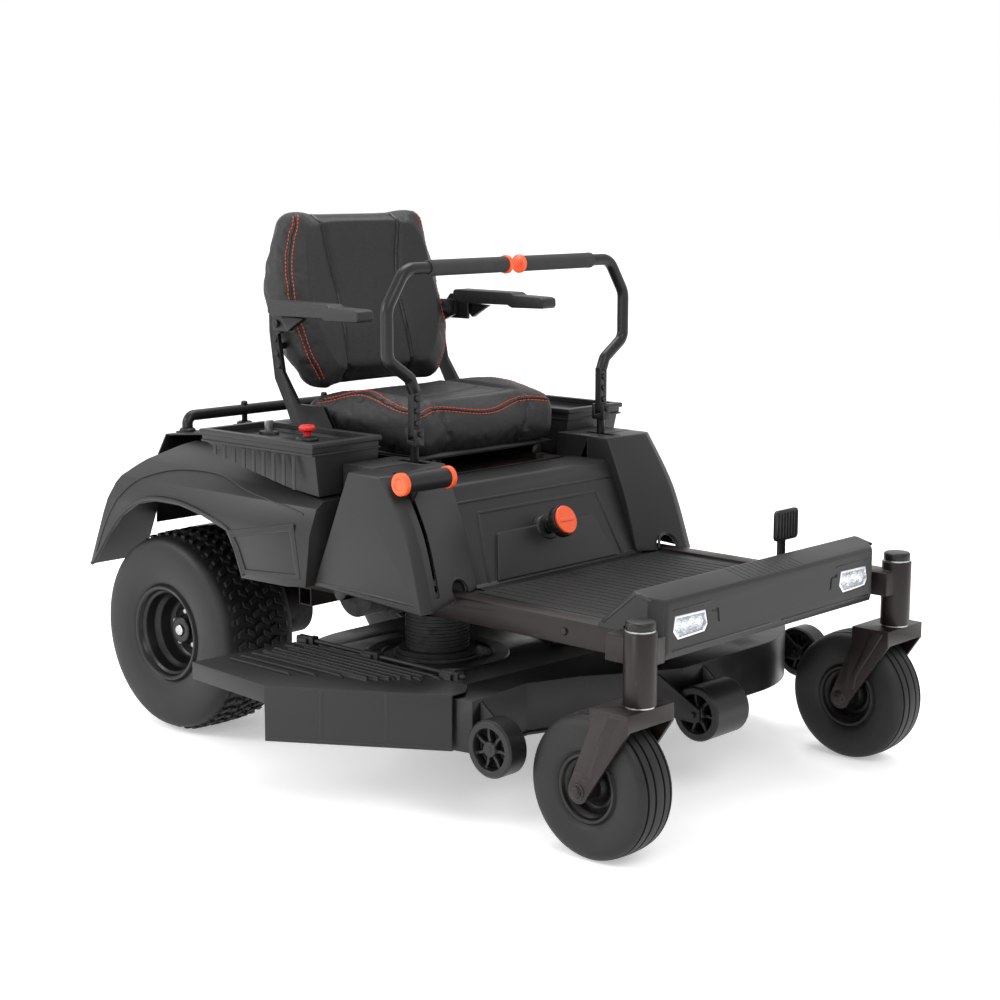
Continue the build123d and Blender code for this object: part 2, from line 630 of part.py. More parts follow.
def ear_places():
    """Where the deck's ears for the anti-scalp wheels stand: x, the wheel's y and the wall behind."""
    reach = ROLLER_W / 2 + 5
    front = FRONT_ROLLER_W / 2 + 5
    right_x, left_x = SIDE_ROLLER_X
    return [(right_x + reach, SIDE_ROLLER_Y, -124), (left_x - reach, SIDE_ROLLER_Y, -132),
            (-front, FRONT_ROLLER_Y, -236), (front, FRONT_ROLLER_Y, -266)]


def deck_shell():
    """The pressed deck: a top, a skirt, motor seats, wheel ears and the chute's hinge lugs."""
    shell = extrude(Plane.XY.offset(DECK_BOTTOM) * deck_outline(STEEL), amount=DECK_TOP - DECK_BOTTOM)
    shell -= extrude(Plane.XY.offset(DECK_BOTTOM - 1) * deck_outline(0),
                     amount=DECK_TOP - STEEL - DECK_BOTTOM + 1)
    shell -= block(-600, -BLADE_X - 150, -40, 380, DECK_BOTTOM + 12, DECK_TOP - STEEL)
    for x, y in ((BLADE_X, BLADE_LEFT_Y), (-BLADE_X, BLADE_RIGHT_Y)):
        shell += rod_z(x, y, DECK_TOP, DECK_TOP + 6, 92)
        shell -= rod_z(x, y, DECK_BOTTOM, DECK_TOP + 10, SPINDLE_R + RUN)
    for x, y, wall_y in ear_places():
        ear = [(wall_y, ROLLER_Z - 14), (wall_y, DECK_TOP - 4), (y, ROLLER_Z + 20), (y - 16, ROLLER_Z + 12),
               (y - 16, ROLLER_Z - 12), (y, ROLLER_Z - 16)]
        slab = side_slab(ear, x - 3, x + 3)
        shell += slab - rod_x(x - 5, x + 5, y, ROLLER_Z, ROLLER_PIN_R + RUN)
    for y in CHUTE_LUGS_Y:
        shell += block(-CHUTE_HINGE_X - 9, -CHUTE_HINGE_X + 9, y, y + 14, DECK_TOP, CHUTE_HINGE_Z + 9)
    hole = Pos(-CHUTE_HINGE_X, 200, CHUTE_HINGE_Z) * Rot(90, 0, 0) * Cylinder(CHUTE_PIN_R + RUN, 700)
    return shell - hole


def blade_motors():
    """Two motors on the deck, each with a bore for its blade's spindle."""
    solids = []
    for x, y in ((BLADE_X, BLADE_LEFT_Y), (-BLADE_X, BLADE_RIGHT_Y)):
        motor = rod_z(x, y, DECK_TOP + 6, DECK_TOP + 16, 84) + rod_z(x, y, DECK_TOP + 16, RAIL_BOTTOM - 18, 66)
        solids.append(motor - rod_z(x, y, DECK_TOP, DECK_TOP + 60, SPINDLE_R + RUN))
    return solids


def blade(x, y, turn):
    """A cutting blade on its spindle."""
    z = DECK_BOTTOM + 16
    bar = block(-BLADE_R, BLADE_R, -28, 28, z, z + 5)
    tip = Cylinder(BLADE_R, 40)
    bar = bar & Pos(0, 0, z) * tip
    bar += rod_z(0, 0, z + 5, z + 24, 34)
    bar += rod_z(0, 0, z - 9, DECK_TOP + 55, SPINDLE_R)
    bar += Pos(0, 0, z - 9) * extrude(RegularPolygon(17, 6), amount=9)
    return Pos(x, y, 0) * Rot(0, 0, turn) * bar


def roller(x, y, width, pin_from, pin_to):
    """An anti-scalp wheel on its pin, which turns in the deck's ears."""
    half = width / 2
    r = ROLLER_R
    wheel = spun_x([(-half, r - 5), (-half, r - 16), (-6, r - 20), (-6, 16), (-half, 15), (-half, 0),
                    (half, 0), (half, 15), (6, 16), (6, r - 20), (half, r - 16), (half, r - 5),
                    (half - 6, r), (-half + 6, r)], x, y, ROLLER_Z)
    return wheel + rod_x(pin_from, pin_to, y, ROLLER_Z, ROLLER_PIN_R)


def rollers():
    """The right, left and front anti-scalp wheels by name."""
    right_x, left_x = SIDE_ROLLER_X
    reach = ROLLER_W / 2 + 14
    front = FRONT_ROLLER_W / 2 + 14
    return {
        "roller_right": roller(right_x, SIDE_ROLLER_Y, ROLLER_W, right_x, right_x + reach),
        "roller_left": roller(left_x, SIDE_ROLLER_Y, ROLLER_W, left_x - reach, left_x),
        "roller_front": roller(0, FRONT_ROLLER_Y, FRONT_ROLLER_W, -front, front),
    }


def discharge_chute():
    """A flap with a deep front side, a short lip behind and ribs on top, on its hinge pin."""
    plate_z = DECK_TOP + 7
    t = 3.0
    front = (-509, -92)
    far = (-CHUTE_REACH, 225)
    tail = (-690, 476)
    plan = [(-CHUTE_HINGE_X - 12, -60), (-470, -92), front, far, tail, (-CHUTE_HINGE_X - 12, 452)]
    chute = plan_slab(plan, plate_z, plate_z + t)
    side = [front, far, (far[0] + 4, far[1] + 2), (front[0] + 4, front[1])]
    chute += plan_slab(side, DECK_BOTTOM + 2, plate_z + t)
    lip = [far, tail, (tail[0] + 4, tail[1]), (far[0] + 4, far[1])]
    chute += plan_slab(lip, plate_z - 32, plate_z + t)
    for k in range(7):
        x = -445 - 17 * k
        chute += block(x - 3, x + 3, 20 + 14 * k, 380 + 6 * k, plate_z + t, plate_z + t + 8)
    for lug_y in CHUTE_LUGS_Y:
        y = lug_y + 16
        chute += Pos(-CHUTE_HINGE_X, y + 15, CHUTE_HINGE_Z) * Rot(90, 0, 0) * Cylinder(9, 30)
        chute += block(-CHUTE_HINGE_X - 14, -CHUTE_HINGE_X - 2, y, y + 30, plate_z, CHUTE_HINGE_Z + 4)
    pin = Pos(-CHUTE_HINGE_X, 208, CHUTE_HINGE_Z) * Rot(90, 0, 0) * Cylinder(CHUTE_PIN_R, 496)
    return chute + pin


# ---- controls ----
def lap_base():
    """The lower rod: a pin in its bracket, a hub, a rod up through the tower and a drilled plate."""
    base = rod_x(LAP_X - 33, LAP_X + 33, LAP_Y, LAP_PIVOT_Z, LAP_PIN_R)
    base += rod_x(LAP_X - 12, LAP_X + 12, LAP_Y, LAP_PIVOT_Z, 15)
    base += rod_z(LAP_X, LAP_Y, LAP_PIVOT_Z, LAP_SWING_Z - 15, 9)
    fork = block(LAP_X - 11, LAP_X + 11, LAP_Y - 17, LAP_Y + 17, LAP_SWING_Z - 24, LAP_SWING_Z + 11)
    fork -= block(LAP_X - 20, LAP_X + 20, LAP_Y - 9, LAP_Y + 9, LAP_SWING_Z - 13, LAP_SWING_Z + 20)
    pin_hole = Pos(LAP_X, LAP_Y, LAP_SWING_Z) * Rot(90, 0, 0) * Cylinder(LAP_PIN_R - 3 + RUN, 60)
    return base + fork - pin_hole


def lap_bar():
    """The upper bar: a pin in the rod's fork, a flat drilled plate and the bent tube."""
    pin = Pos(LAP_X, LAP_Y, LAP_SWING_Z) * Rot(90, 0, 0) * Cylinder(LAP_PIN_R - 3, 44)
    plate = block(LAP_X - 11, LAP_X + 11, LAP_Y - 8, LAP_Y + 8, LAP_SWING_Z, LAP_SWING_Z + 94)
    plate += Pos(LAP_X, LAP_Y, LAP_SWING_Z) * Rot(90, 0, 0) * Cylinder(11, 16)
    for k in range(3):
        plate -= Pos(LAP_X, LAP_Y, LAP_SWING_Z + 22 + 26 * k) * Rot(90, 0, 0) * Cylinder(4.2, 40)
    tube = bent_tube([(LAP_X, LAP_Y, LAP_SWING_Z + 88), (LAP_X + 12, LAP_Y, 838), (LAP_OUT_X, LAP_Y, 880),
                      (LAP_OUT_X, LAP_Y, 985), (LAP_OUT_X - 52, LAP_Y, LAP_TOP_Z), (24, LAP_Y, LAP_TOP_Z)],
                     [20, 30, 45, 45], LAP_TUBE_R)
    return plate + pin + tube


def lap_grip():
    """The soft sleeve on the bar's top run, with the round cap on its end."""
    sleeve = rod_x(26, LAP_OUT_X - 118, LAP_Y, LAP_TOP_Z, LAP_TUBE_R + 4)
    sleeve -= rod_x(24, LAP_OUT_X, LAP_Y, LAP_TOP_Z, LAP_TUBE_R)
    cap = rod_x(14, 26, LAP_Y, LAP_TOP_Z, LAP_TUBE_R + 7)
    cap -= rod_x(24, 30, LAP_Y, LAP_TOP_Z, LAP_TUBE_R)
    return sleeve + cap


def lift_lever():
    """A flat lever on a pin through the right rail."""
    dy = LIFT_GRIP_Y - LIFT_PIVOT_Y
    dz = LIFT_GRIP_Z - LIFT_PIVOT_Z
    length = math.hypot(dy, dz)
    ny, nz = -dz / length, dy / length
    points = []
    for along, wide in ((0, 17), (0.72, 17), (0.9, 12), (1, 7), (1, -7), (0.9, -12), (0.72, -17), (0, -17)):
        points.append((LIFT_PIVOT_Y + dy * along + ny * wide, LIFT_PIVOT_Z + dz * along + nz * wide))
    lever = side_slab(points, -LIFT_X - 4, -LIFT_X + 4)
    lever += rod_x(-LIFT_X - 4, -RAIL_OUTER_X - 1, LIFT_PIVOT_Y, LIFT_PIVOT_Z, 17)
    return lever + rod_x(-RAIL_OUTER_X - 2, -RAIL_INNER_X + 6, LIFT_PIVOT_Y, LIFT_PIVOT_Z, LAP_PIN_R)


def lift_grip():
    """A cross grip with a larger cap at each end, and a slot for the lever's tip."""
    half = LIFT_GRIP_LENGTH / 2
    grip = rod_x(-LIFT_GRIP_X - half, -LIFT_GRIP_X + half, LIFT_GRIP_Y, LIFT_GRIP_Z, 20)
    for side in (-1, 1):
        x = -LIFT_GRIP_X + side * (half - 7)
        grip += rod_x(x - 7, x + 7, LIFT_GRIP_Y, LIFT_GRIP_Z, 23)
    return grip - lift_lever()


def mushroom(x, y, stem_r, head_r, z, height):
    knob = rod_z(x, y, z - 24, z + height, stem_r)
    head = rod_z(x, y, z + height - 12, z + height, head_r)
    return knob + fillet(head.edges().sort_by(Axis.Z)[-1], 4)


def pto_knob():
    return mushroom(SWITCH_X, SWITCH_Y, SWITCH_R, 18, TRAY_TOP - 18, 34)


def key():
    stem = rod_z(KEY_X, KEY_Y, TRAY_TOP - 34, TRAY_TOP - 12, KEY_R)
    return stem + block(KEY_X - 11, KEY_X + 11, KEY_Y - 1.5, KEY_Y + 1.5, TRAY_TOP - 14, TRAY_TOP + 12)


def brake_pedal():
    """A pad on a stem that comes up through the cover's rear slope."""
    y, z = PEDAL_PIVOT_Y, PEDAL_PIVOT_Z
    stem = block(PEDAL_X - 6, PEDAL_X + 6, y - 7, y + 7, z, 530)
    hub = rod_x(PEDAL_X - 20, PEDAL_X + 20, y, z, 12)
    pad = block(PEDAL_X - 40, PEDAL_X + 40, y - 14, y - 7, 508, 572)
    pad = fillet(pad.edges().filter_by(Axis.Y), 10)
    return stem + hub + pad


# ---- seat ----
def seat_pan():
    """Pan, sliders and the bent side bars that carry the back and the armrests."""
    top = SEAT_BOTTOM - 1
    pan = block(-205, 205, SEAT_FRONT_Y + 12, SEAT_REAR_Y - 12, top - 6, top)
    for side in (-1, 1):
        pan += block(side * 176, side * 148, SEAT_FRONT_Y + 20, SEAT_REAR_Y - 50, SEAT_BOTTOM - 28 + GAP, top - 6)
        a = side * (SEAT_W / 2 + 4)
        b = side * (SEAT_W / 2 + 14)
        x0, x1 = min(a, b), max(a, b)
        bar = [(520, 648), (608, 648), (640, 690), (662, 735), (700, 800), (716, 905), (716, 955),
               (640, 955), (640, 920), (688, 900), (672, 816), (622, 748), (538, 748), (505, 700)]
        pan += side_slab(bar, x0, x1)
        foot_in = side * 200
        f0, f1 = min(foot_in, b), max(foot_in, b)
        pan += block(f0, f1, 530, 590, top - 7, top - 1)
        for y, z in ((708, 930), (697, 872)):
            pan += rod_x(side * BACK_W / 2, a, y, z, 7)
        pan -= rod_x(x0 - 5, x1 + 5, ARM_PIVOT_Y, ARM_PIVOT_Z, ARM_PIN_R + RUN)
    return pan


def seat_cushion():
    half = SEAT_W / 2 - 4
    side = [(SEAT_FRONT_Y + 8, SEAT_BOTTOM), (SEAT_FRONT_Y, 690), (SEAT_FRONT_Y + 12, SEAT_FRONT_Z),
            (350, SEAT_SIDE_Z - 4), (520, SEAT_SIDE_Z - 4), (600, 770), (SEAT_REAR_Y - 20, 760),
            (SEAT_REAR_Y - 20, SEAT_BOTTOM)]
    return side_slab(side, -half, half)


def seat_back():
    half = BACK_W / 2
    side = [(616, BACK_BOTTOM_Z + 30), (640, 770), (706, BACK_BOTTOM_Z - 10), (735, 830), (785, 985),
            (776, 1110), (752, BACK_TOP_Z), (722, BACK_TOP_Z - 2), (690, 1060), (640, 900)]
    back = side_slab(side, -half, half)
    shape = [(-half + 40, 760), (half - 40, 760), (half, 850), (half, 1020), (half - 30, 1120),
             (half - 70, 1185), (-half + 70, 1185), (-half + 30, 1120), (-half, 1020), (-half, 850)]
    return back & front_slab(shape, 560, 820)


def armrest():
    """A padded arm on a bracket whose pin turns in the side bar."""
    arm = block(ARM_X - ARM_W / 2, ARM_X + ARM_W / 2, ARM_FRONT_Y, ARM_PIVOT_Y - 10, ARM_TOP_Z - 38, ARM_TOP_Z)
    arm = fillet(arm.edges().filter_by(Axis.X), 12)
    plate = block(ARM_X - ARM_W / 2 + 3, ARM_X - 14, ARM_PIVOT_Y - 60, ARM_PIVOT_Y + 16, ARM_PIVOT_Z - 16,
                  ARM_TOP_Z - 12)
    pin = rod_x(SEAT_W / 2 - 3, ARM_X - 14, ARM_PIVOT_Y, ARM_PIVOT_Z, ARM_PIN_R)
    return arm + plate + pin


# ---- assembly ----
def make_pieces():
    """Every piece by name, in the working frame."""
    pieces = {
        "frame_rails": both(frame_rail()),
        "rear_rails": both(rear_rail()),
        "cross_members": cross_members(),
        "front_beam": front_beam(),
        "sleeve_bushes": sleeve_bushes(),
        "sleeve_caps": sleeve_caps(),
        "hitch_plate": hitch_plate(),
        "seat_support": seat_support(),
        "lap_brackets": lap_brackets(),
        "floor_pan": floor_pan(),
        "footrest_cover": footrest_cover(),
        "headlight_housings": both(lamp_housing()),
        "headlight_lenses": both(lamp_lens()),
        "knee_panel": knee_panel(),
        "tower_left": tower_left(),
        "tower_right": tower_right(),
        "tray_left": tray_left(),
        "tray_right": tray_right(),
        "rear_hood": rear_hood(),
        "rear_bar": rear_bar(),
        "battery_pack": battery_pack(),
        "drive_motors": both(drive_motor()),
        "deck_shell": deck_shell(),
        "blade_motors": blade_motors(),
        "blade_left": blade(BLADE_X, BLADE_LEFT_Y, 60),
        "blade_right": blade(-BLADE_X, BLADE_RIGHT_Y, 25),
        "discharge_chute": discharge_chute(),
        "lift_lever": lift_lever(),
        "lift_grip": lift_grip(),
        "height_knob": height_knob(),
        "pto_knob": pto_knob(),
        "key": key(),
        "brake_pedal": brake_pedal(),
        "seat_pan": seat_pan(),
        "seat_cushion": seat_cushion(),
        "seat_back": seat_back(),
    }
    pieces.update(rollers())
    paired = {
        "fender": fender, "rear_tyre": rear_tyre, "rear_rim": rear_rim, "caster_tyre": caster_tyre,
        "caster_rim": caster_rim, "caster_fork": caster_fork, "lap_base": lap_base, "lap_bar": lap_bar,
        "lap_grip": lap_grip, "armrest": armrest,
    }
    for name, make in paired.items():
        left = make()
        pieces[name + "_left"] = left
        pieces[name + "_right"] = mirrored(left)
    return pieces


def moved(shape, shift):
    """A piece, or a group of solids as one piece, moved by the shift."""
    if isinstance(shape, list):
        return Compound([Pos(shift) * solid for solid in shape])
    return Pos(shift) * shape


def frame_shift(pieces):
    """The move that puts the origin under the middle of the whole machine's box."""
    boxes = [moved(shape, Vector(0, 0, 0)).bounding_box() for shape in pieces.values()]
    x = (min(b.min.X for b in boxes) + max(b.max.X for b in boxes)) / 2
    y = (min(b.min.Y for b in boxes) + max(b.max.Y for b in boxes)) / 2
    return Vector(-x, -y, -min(b.min.Z for b in boxes))


def main():
    pieces = make_pieces()
    shift = frame_shift(pieces)
    os.makedirs("parts", exist_ok=True)
    for name, shape in pieces.items():
        export_step(moved(shape, shift), os.path.join("parts", name + ".step"))
    print("moved by", round(shift.X, 3), round(shift.Y, 3), round(shift.Z, 3))


if __name__ == "__main__":
    main()
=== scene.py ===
"""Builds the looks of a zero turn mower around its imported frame."""

import json
import math

import bmesh
import bpy
import numpy as np
from mathutils import Matrix, Vector
from mathutils.bvhtree import BVHTree

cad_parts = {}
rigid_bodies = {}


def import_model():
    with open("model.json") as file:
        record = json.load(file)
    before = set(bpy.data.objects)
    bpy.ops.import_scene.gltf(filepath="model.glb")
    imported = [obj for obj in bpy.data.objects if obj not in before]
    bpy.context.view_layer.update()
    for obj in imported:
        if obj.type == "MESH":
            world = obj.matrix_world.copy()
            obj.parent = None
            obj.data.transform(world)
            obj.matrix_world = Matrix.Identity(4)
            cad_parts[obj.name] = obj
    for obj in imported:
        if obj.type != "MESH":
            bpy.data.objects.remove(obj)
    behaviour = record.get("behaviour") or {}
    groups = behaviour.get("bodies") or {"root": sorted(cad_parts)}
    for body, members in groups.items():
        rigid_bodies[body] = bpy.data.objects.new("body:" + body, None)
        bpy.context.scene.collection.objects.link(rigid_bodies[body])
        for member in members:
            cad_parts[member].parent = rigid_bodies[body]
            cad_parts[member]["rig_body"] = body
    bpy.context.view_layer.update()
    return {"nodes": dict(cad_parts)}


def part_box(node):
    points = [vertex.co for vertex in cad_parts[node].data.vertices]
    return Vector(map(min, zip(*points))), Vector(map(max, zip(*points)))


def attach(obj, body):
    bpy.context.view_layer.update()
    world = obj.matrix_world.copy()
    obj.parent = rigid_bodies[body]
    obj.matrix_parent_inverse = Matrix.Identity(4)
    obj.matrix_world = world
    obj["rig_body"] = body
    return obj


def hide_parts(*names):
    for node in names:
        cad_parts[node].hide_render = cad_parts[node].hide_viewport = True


bl_info = {
    "name": "Zero Turn Mower Looks",
    "version": (1, 0, 0),
    "blender": (4, 5, 0),
    "location": "View3D > Sidebar > Mower",
    "description": "Builds the visible pieces of a zero turn mower around its packed frame",
    "category": "Add Mesh",
}

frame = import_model()

# The pieces are shaped in millimetres, with x = 0 on the mower's middle plane. The frame has its
# origin under the middle of the whole box, so a piece is scaled and moved when it is finished.
KNEE_LOW, KNEE_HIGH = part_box("knee_panel")
WHEEL_LOW, WHEEL_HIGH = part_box("rear_tyre_left")
REAR_AXLE_Y = 837.0
SHIFT = Vector(((KNEE_LOW.x + KNEE_HIGH.x) / 2, (WHEEL_LOW.y + WHEEL_HIGH.y) / 2 - REAR_AXLE_Y / 1000, 0))
TO_FRAME = Matrix.Translation(SHIFT) @ Matrix.Scale(0.001, 4)
FROM_FRAME = TO_FRAME.inverted()

REAR_R = 228.6
REAR_TRACK = 387.0
CASTER_R = 139.7
CASTER_X = 433.0
CASTER_AXLE_Y = -406.0
FORK_FACE = 68.0
LAMP_X, LAMP_Z = 276.0, 427.6
LAP_X, LAP_Y, LAP_TOP_Z = 300.0, 217.0, 1062.0
ROLLER_Z = 178.0
BAR_Y = 975.0
BLADES = ((262, 20), (-262, 190))
SIDES = (("left", 1), ("right", -1))
TURN = 2 * math.pi
TUBE_SIDES = 3
MATERIALS = {}


# ---- shaping ----
def where(axis, a, b, c):
    """The point whose place along the named axis is c and whose other two places are a and b."""
    return {"x": (c, a, b), "y": (a, c, b), "z": (a, b, c)}[axis]


def direction(axis):
    """The unit vector along the named axis."""
    return Vector(where(axis, 0, 0, 1))


def slab(points, axis, low, high, bevel=0.0, segments=2, sharper=20):
    """A flat outline pulled along an axis, with its sharp edges bevelled."""
    bm = bmesh.new()
    face = bm.faces.new([bm.verts.new(where(axis, a, b, low)) for a, b in points])
    pulled = bmesh.ops.extrude_face_region(bm, geom=[face])["geom"]
    ends = [v for v in pulled if isinstance(v, bmesh.types.BMVert)]
    bmesh.ops.translate(bm, verts=ends, vec=direction(axis) * (high - low))
    bmesh.ops.recalc_face_normals(bm, faces=bm.faces[:])
    return bevelled(bm, bevel, segments, sharper)


def bevelled(bm, width, segments=2, sharper=20):
    """Bevels the edges whose faces meet at more than the given angle in degrees."""
    if width > 0:
        limit = math.radians(sharper)
        sharp = [e for e in bm.edges if len(e.link_faces) == 2 and e.calc_face_angle(0) > limit]
        bmesh.ops.bevel(bm, geom=sharp, offset=width, offset_type="OFFSET", segments=segments,
                        profile=0.5, affect="EDGES", material=-1, clamp_overlap=True)
    return bm


def box(x0, x1, y0, y1, z0, z1, bevel=0.0, segments=2):
    """A box between two corners, bevelled all round."""
    bm = bmesh.new()
    bmesh.ops.create_cube(bm, size=1.0)
    bmesh.ops.scale(bm, vec=(abs(x1 - x0), abs(y1 - y0), abs(z1 - z0)), verts=bm.verts[:])
    bmesh.ops.translate(bm, vec=((x0 + x1) / 2, (y0 + y1) / 2, (z0 + z1) / 2), verts=bm.verts[:])
    return bevelled(bm, bevel, segments)


def ring_edges(bm, verts):
    """The edges that close the vertices into a loop, in order."""
    return [bm.edges.new(pair) for pair in zip(verts, [*verts[1:], verts[0]])]


def turned(profile, axis, centre, steps):
    """An outline of (distance along the axis, radius), spun round the axis."""
    bm = bmesh.new()
    verts = [bm.verts.new(where(axis, r, 0, along)) for along, r in profile]
    edges = ring_edges(bm, verts)
    bmesh.ops.spin(bm, geom=verts + edges, cent=(0, 0, 0), axis=direction(axis), dvec=(0, 0, 0),
                   angle=TURN, steps=steps, use_merge=True, use_duplicate=False)
    bmesh.ops.remove_doubles(bm, verts=bm.verts[:], dist=1e-4)
    bmesh.ops.dissolve_degenerate(bm, dist=1e-4, edges=bm.edges[:])
    bmesh.ops.recalc_face_normals(bm, faces=bm.faces[:])
    bmesh.ops.translate(bm, vec=centre, verts=bm.verts[:])
    return bm


def rod(low, high, radius, axis, centre, steps):
    """A plain round bar, or a hexagon when it has six steps."""
    return turned([(low, 0), (low, radius), (high, radius), (high, 0)], axis, centre, steps)


def stud(low, shoulder, top, radius, crown, axis, centre, steps):
    """A round or six-sided head with a chamfered top."""
    return turned([(low, 0), (low, radius), (shoulder, radius), (top, crown), (top, 0)], axis, centre, steps)


def collar(low, high, inner, outer, axis, centre, steps):
    """A plain ring."""
    return turned([(low, inner), (low, outer), (high, outer), (high, inner)], axis, centre, steps)


def repeated(bm, count, axis, centre):
    """The same shape set round an axis."""
    bmesh.ops.spin(bm, geom=bm.verts[:] + bm.edges[:] + bm.faces[:], cent=centre, axis=direction(axis),
                   dvec=(0, 0, 0), angle=TURN * (count - 1) / count, steps=count - 1,
                   use_merge=False, use_duplicate=True)
    return bm


def tube(points, radius):
    """A round tube along smooth points, with closed ends."""
    curve = bpy.data.curves.new("line", "CURVE")
    curve.dimensions = "3D"
    curve.bevel_depth = radius
    curve.bevel_resolution = TUBE_SIDES
    curve.use_fill_caps = True
    spline = curve.splines.new("POLY")
    spline.points.add(len(points) - 1)
    for point, place in zip(spline.points, points):
        point.co = (*place, 1)
    holder = bpy.data.objects.new("line", curve)
    mesh = bpy.data.meshes.new_from_object(holder)
    bm = bmesh.new()
    bm.from_mesh(mesh)
    bpy.data.objects.remove(holder)
    bpy.data.curves.remove(curve)
    bpy.data.meshes.remove(mesh)
    bmesh.ops.remove_doubles(bm, verts=bm.verts[:], dist=1e-4)
    bmesh.ops.recalc_face_normals(bm, faces=bm.faces[:])
    return bm


def joined(*shapes):
    """Several shapes as one."""
    whole = bmesh.new()
    for shape in shapes:
        mesh = bpy.data.meshes.new("part")
        shape.to_mesh(mesh)
        whole.from_mesh(mesh)
        bpy.data.meshes.remove(mesh)
        shape.free()
    return whole


def mirrored(bm):
    """The shape on the mower's other side."""
    bmesh.ops.scale(bm, vec=(-1, 1, 1), verts=bm.verts[:])
    bmesh.ops.reverse_faces(bm, faces=bm.faces[:])
    return bm


def sided(bm, side):
    """The shape as drawn for the left side, or its mirror image for the right."""
    return bm if side > 0 else mirrored(bm)


def moved(bm, matrix):
    """The shape in another place."""
    bmesh.ops.transform(bm, matrix=matrix, verts=bm.verts[:])
    return bm


def cut(bm, *cutters):
    """The shape less the cutters, by an exact boolean."""
    body = bpy.data.objects.new("body", bpy.data.meshes.new("body"))
    tool = bpy.data.objects.new("tool", bpy.data.meshes.new("tool"))
    for holder, shape in ((body, bm), (tool, joined(*cutters))):
        shape.to_mesh(holder.data)
        shape.free()
        bpy.context.scene.collection.objects.link(holder)
    boolean = body.modifiers.new("cut", "BOOLEAN")
    boolean.operation = "DIFFERENCE"
    boolean.solver = "EXACT"
    boolean.use_self = True
    boolean.object = tool
    result = bpy.data.meshes.new_from_object(body.evaluated_get(bpy.context.evaluated_depsgraph_get()))
    left = bmesh.new()
    left.from_mesh(result)
    for holder in (body, tool):
        bpy.data.objects.remove(holder)
    bmesh.ops.remove_doubles(left, verts=left.verts[:], dist=1e-3)
    return left


def copied(node):
    """A CAD node's shape as clean faces, in the shaping frame."""
    bm = bmesh.new()
    bm.from_mesh(frame["nodes"][node].data)
    moved(bm, FROM_FRAME)
    bmesh.ops.remove_doubles(bm, verts=bm.verts[:], dist=0.01)
    bmesh.ops.dissolve_limit(bm, angle_limit=math.radians(0.5), verts=bm.verts[:], edges=bm.edges[:])
    return bm


def rounded_block(cuts, half, radius):
    """A cube with rounded edges and corners, dense enough to be shaped."""
    bm = bmesh.new()
    bmesh.ops.create_cube(bm, size=2.0)
    bmesh.ops.subdivide_edges(bm, edges=bm.edges[:], cuts=cuts, use_grid_fill=True)
    for v in bm.verts:
        place = Vector([v.co[i] * half[i] for i in range(3)])
        core = Vector([max(-half[i] + radius, min(half[i] - radius, place[i])) for i in range(3)])
        out = place - core
        v.co = core + out.normalized() * radius if out.length > 1e-6 else place
    return bm


def finished(name, bm, material, body, replaces=(), smooth=32):
    """Turns a shape into a piece of the mower that moves with a body."""
    moved(bm, TO_FRAME)
    mesh = bpy.data.meshes.new(name)
    bm.to_mesh(mesh)
    bm.free()
    mesh.materials.append(MATERIALS[material])
    mesh.shade_smooth()
    mesh.set_sharp_from_angle(angle=math.radians(smooth))
    piece = bpy.data.objects.new(name, mesh)
    bpy.context.scene.collection.objects.link(piece)
    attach(piece, body)
    if replaces:
        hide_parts(*replaces)
    return piece


def softened(node, material, width=1.0, smooth=32, name=None):
    """A CAD node's own shape with its edges taken off."""
    bm = bevelled(copied(node), width, 2, 25)
    body = frame["nodes"][node]["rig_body"]
    return finished(name or node + "_skin", bm, material, body, (node,), smooth)


def curve_through(points, steps):
    """A smooth line that passes through every point."""
    line = []
    padded = [points[0], *points, points[-1]]
    for a, b, c, d in zip(padded, padded[1:], padded[2:], padded[3:]):
        for k in range(steps):
            t = k / steps
            line.append(tuple(0.5 * (2 * q + (r - p) * t + (2 * p - 5 * q + 4 * r - s) * t * t
                                     + (3 * q - p - 3 * r + s) * t ** 3) for p, q, r, s in zip(a, b, c, d)))
    return line + [tuple(points[-1])]


# ---- materials ----
class Wire:
    """A value inside a material: arithmetic on it adds Math nodes."""

    def __init__(self, recipe, socket):
        self.recipe = recipe
        self.socket = socket

    def math(self, operation, *values):
        return self.recipe.node("ShaderNodeMath", {"operation": operation}, dict(enumerate(values)))

    def __add__(self, other):
        return self.math("ADD", self, other)

    def __sub__(self, other):
        return self.math("SUBTRACT", self, other)

    def __rsub__(self, other):
        return self.math("SUBTRACT", other, self)

    def __mul__(self, other):
        return self.math("MULTIPLY", self, other)

    __radd__ = __add__
    __rmul__ = __mul__


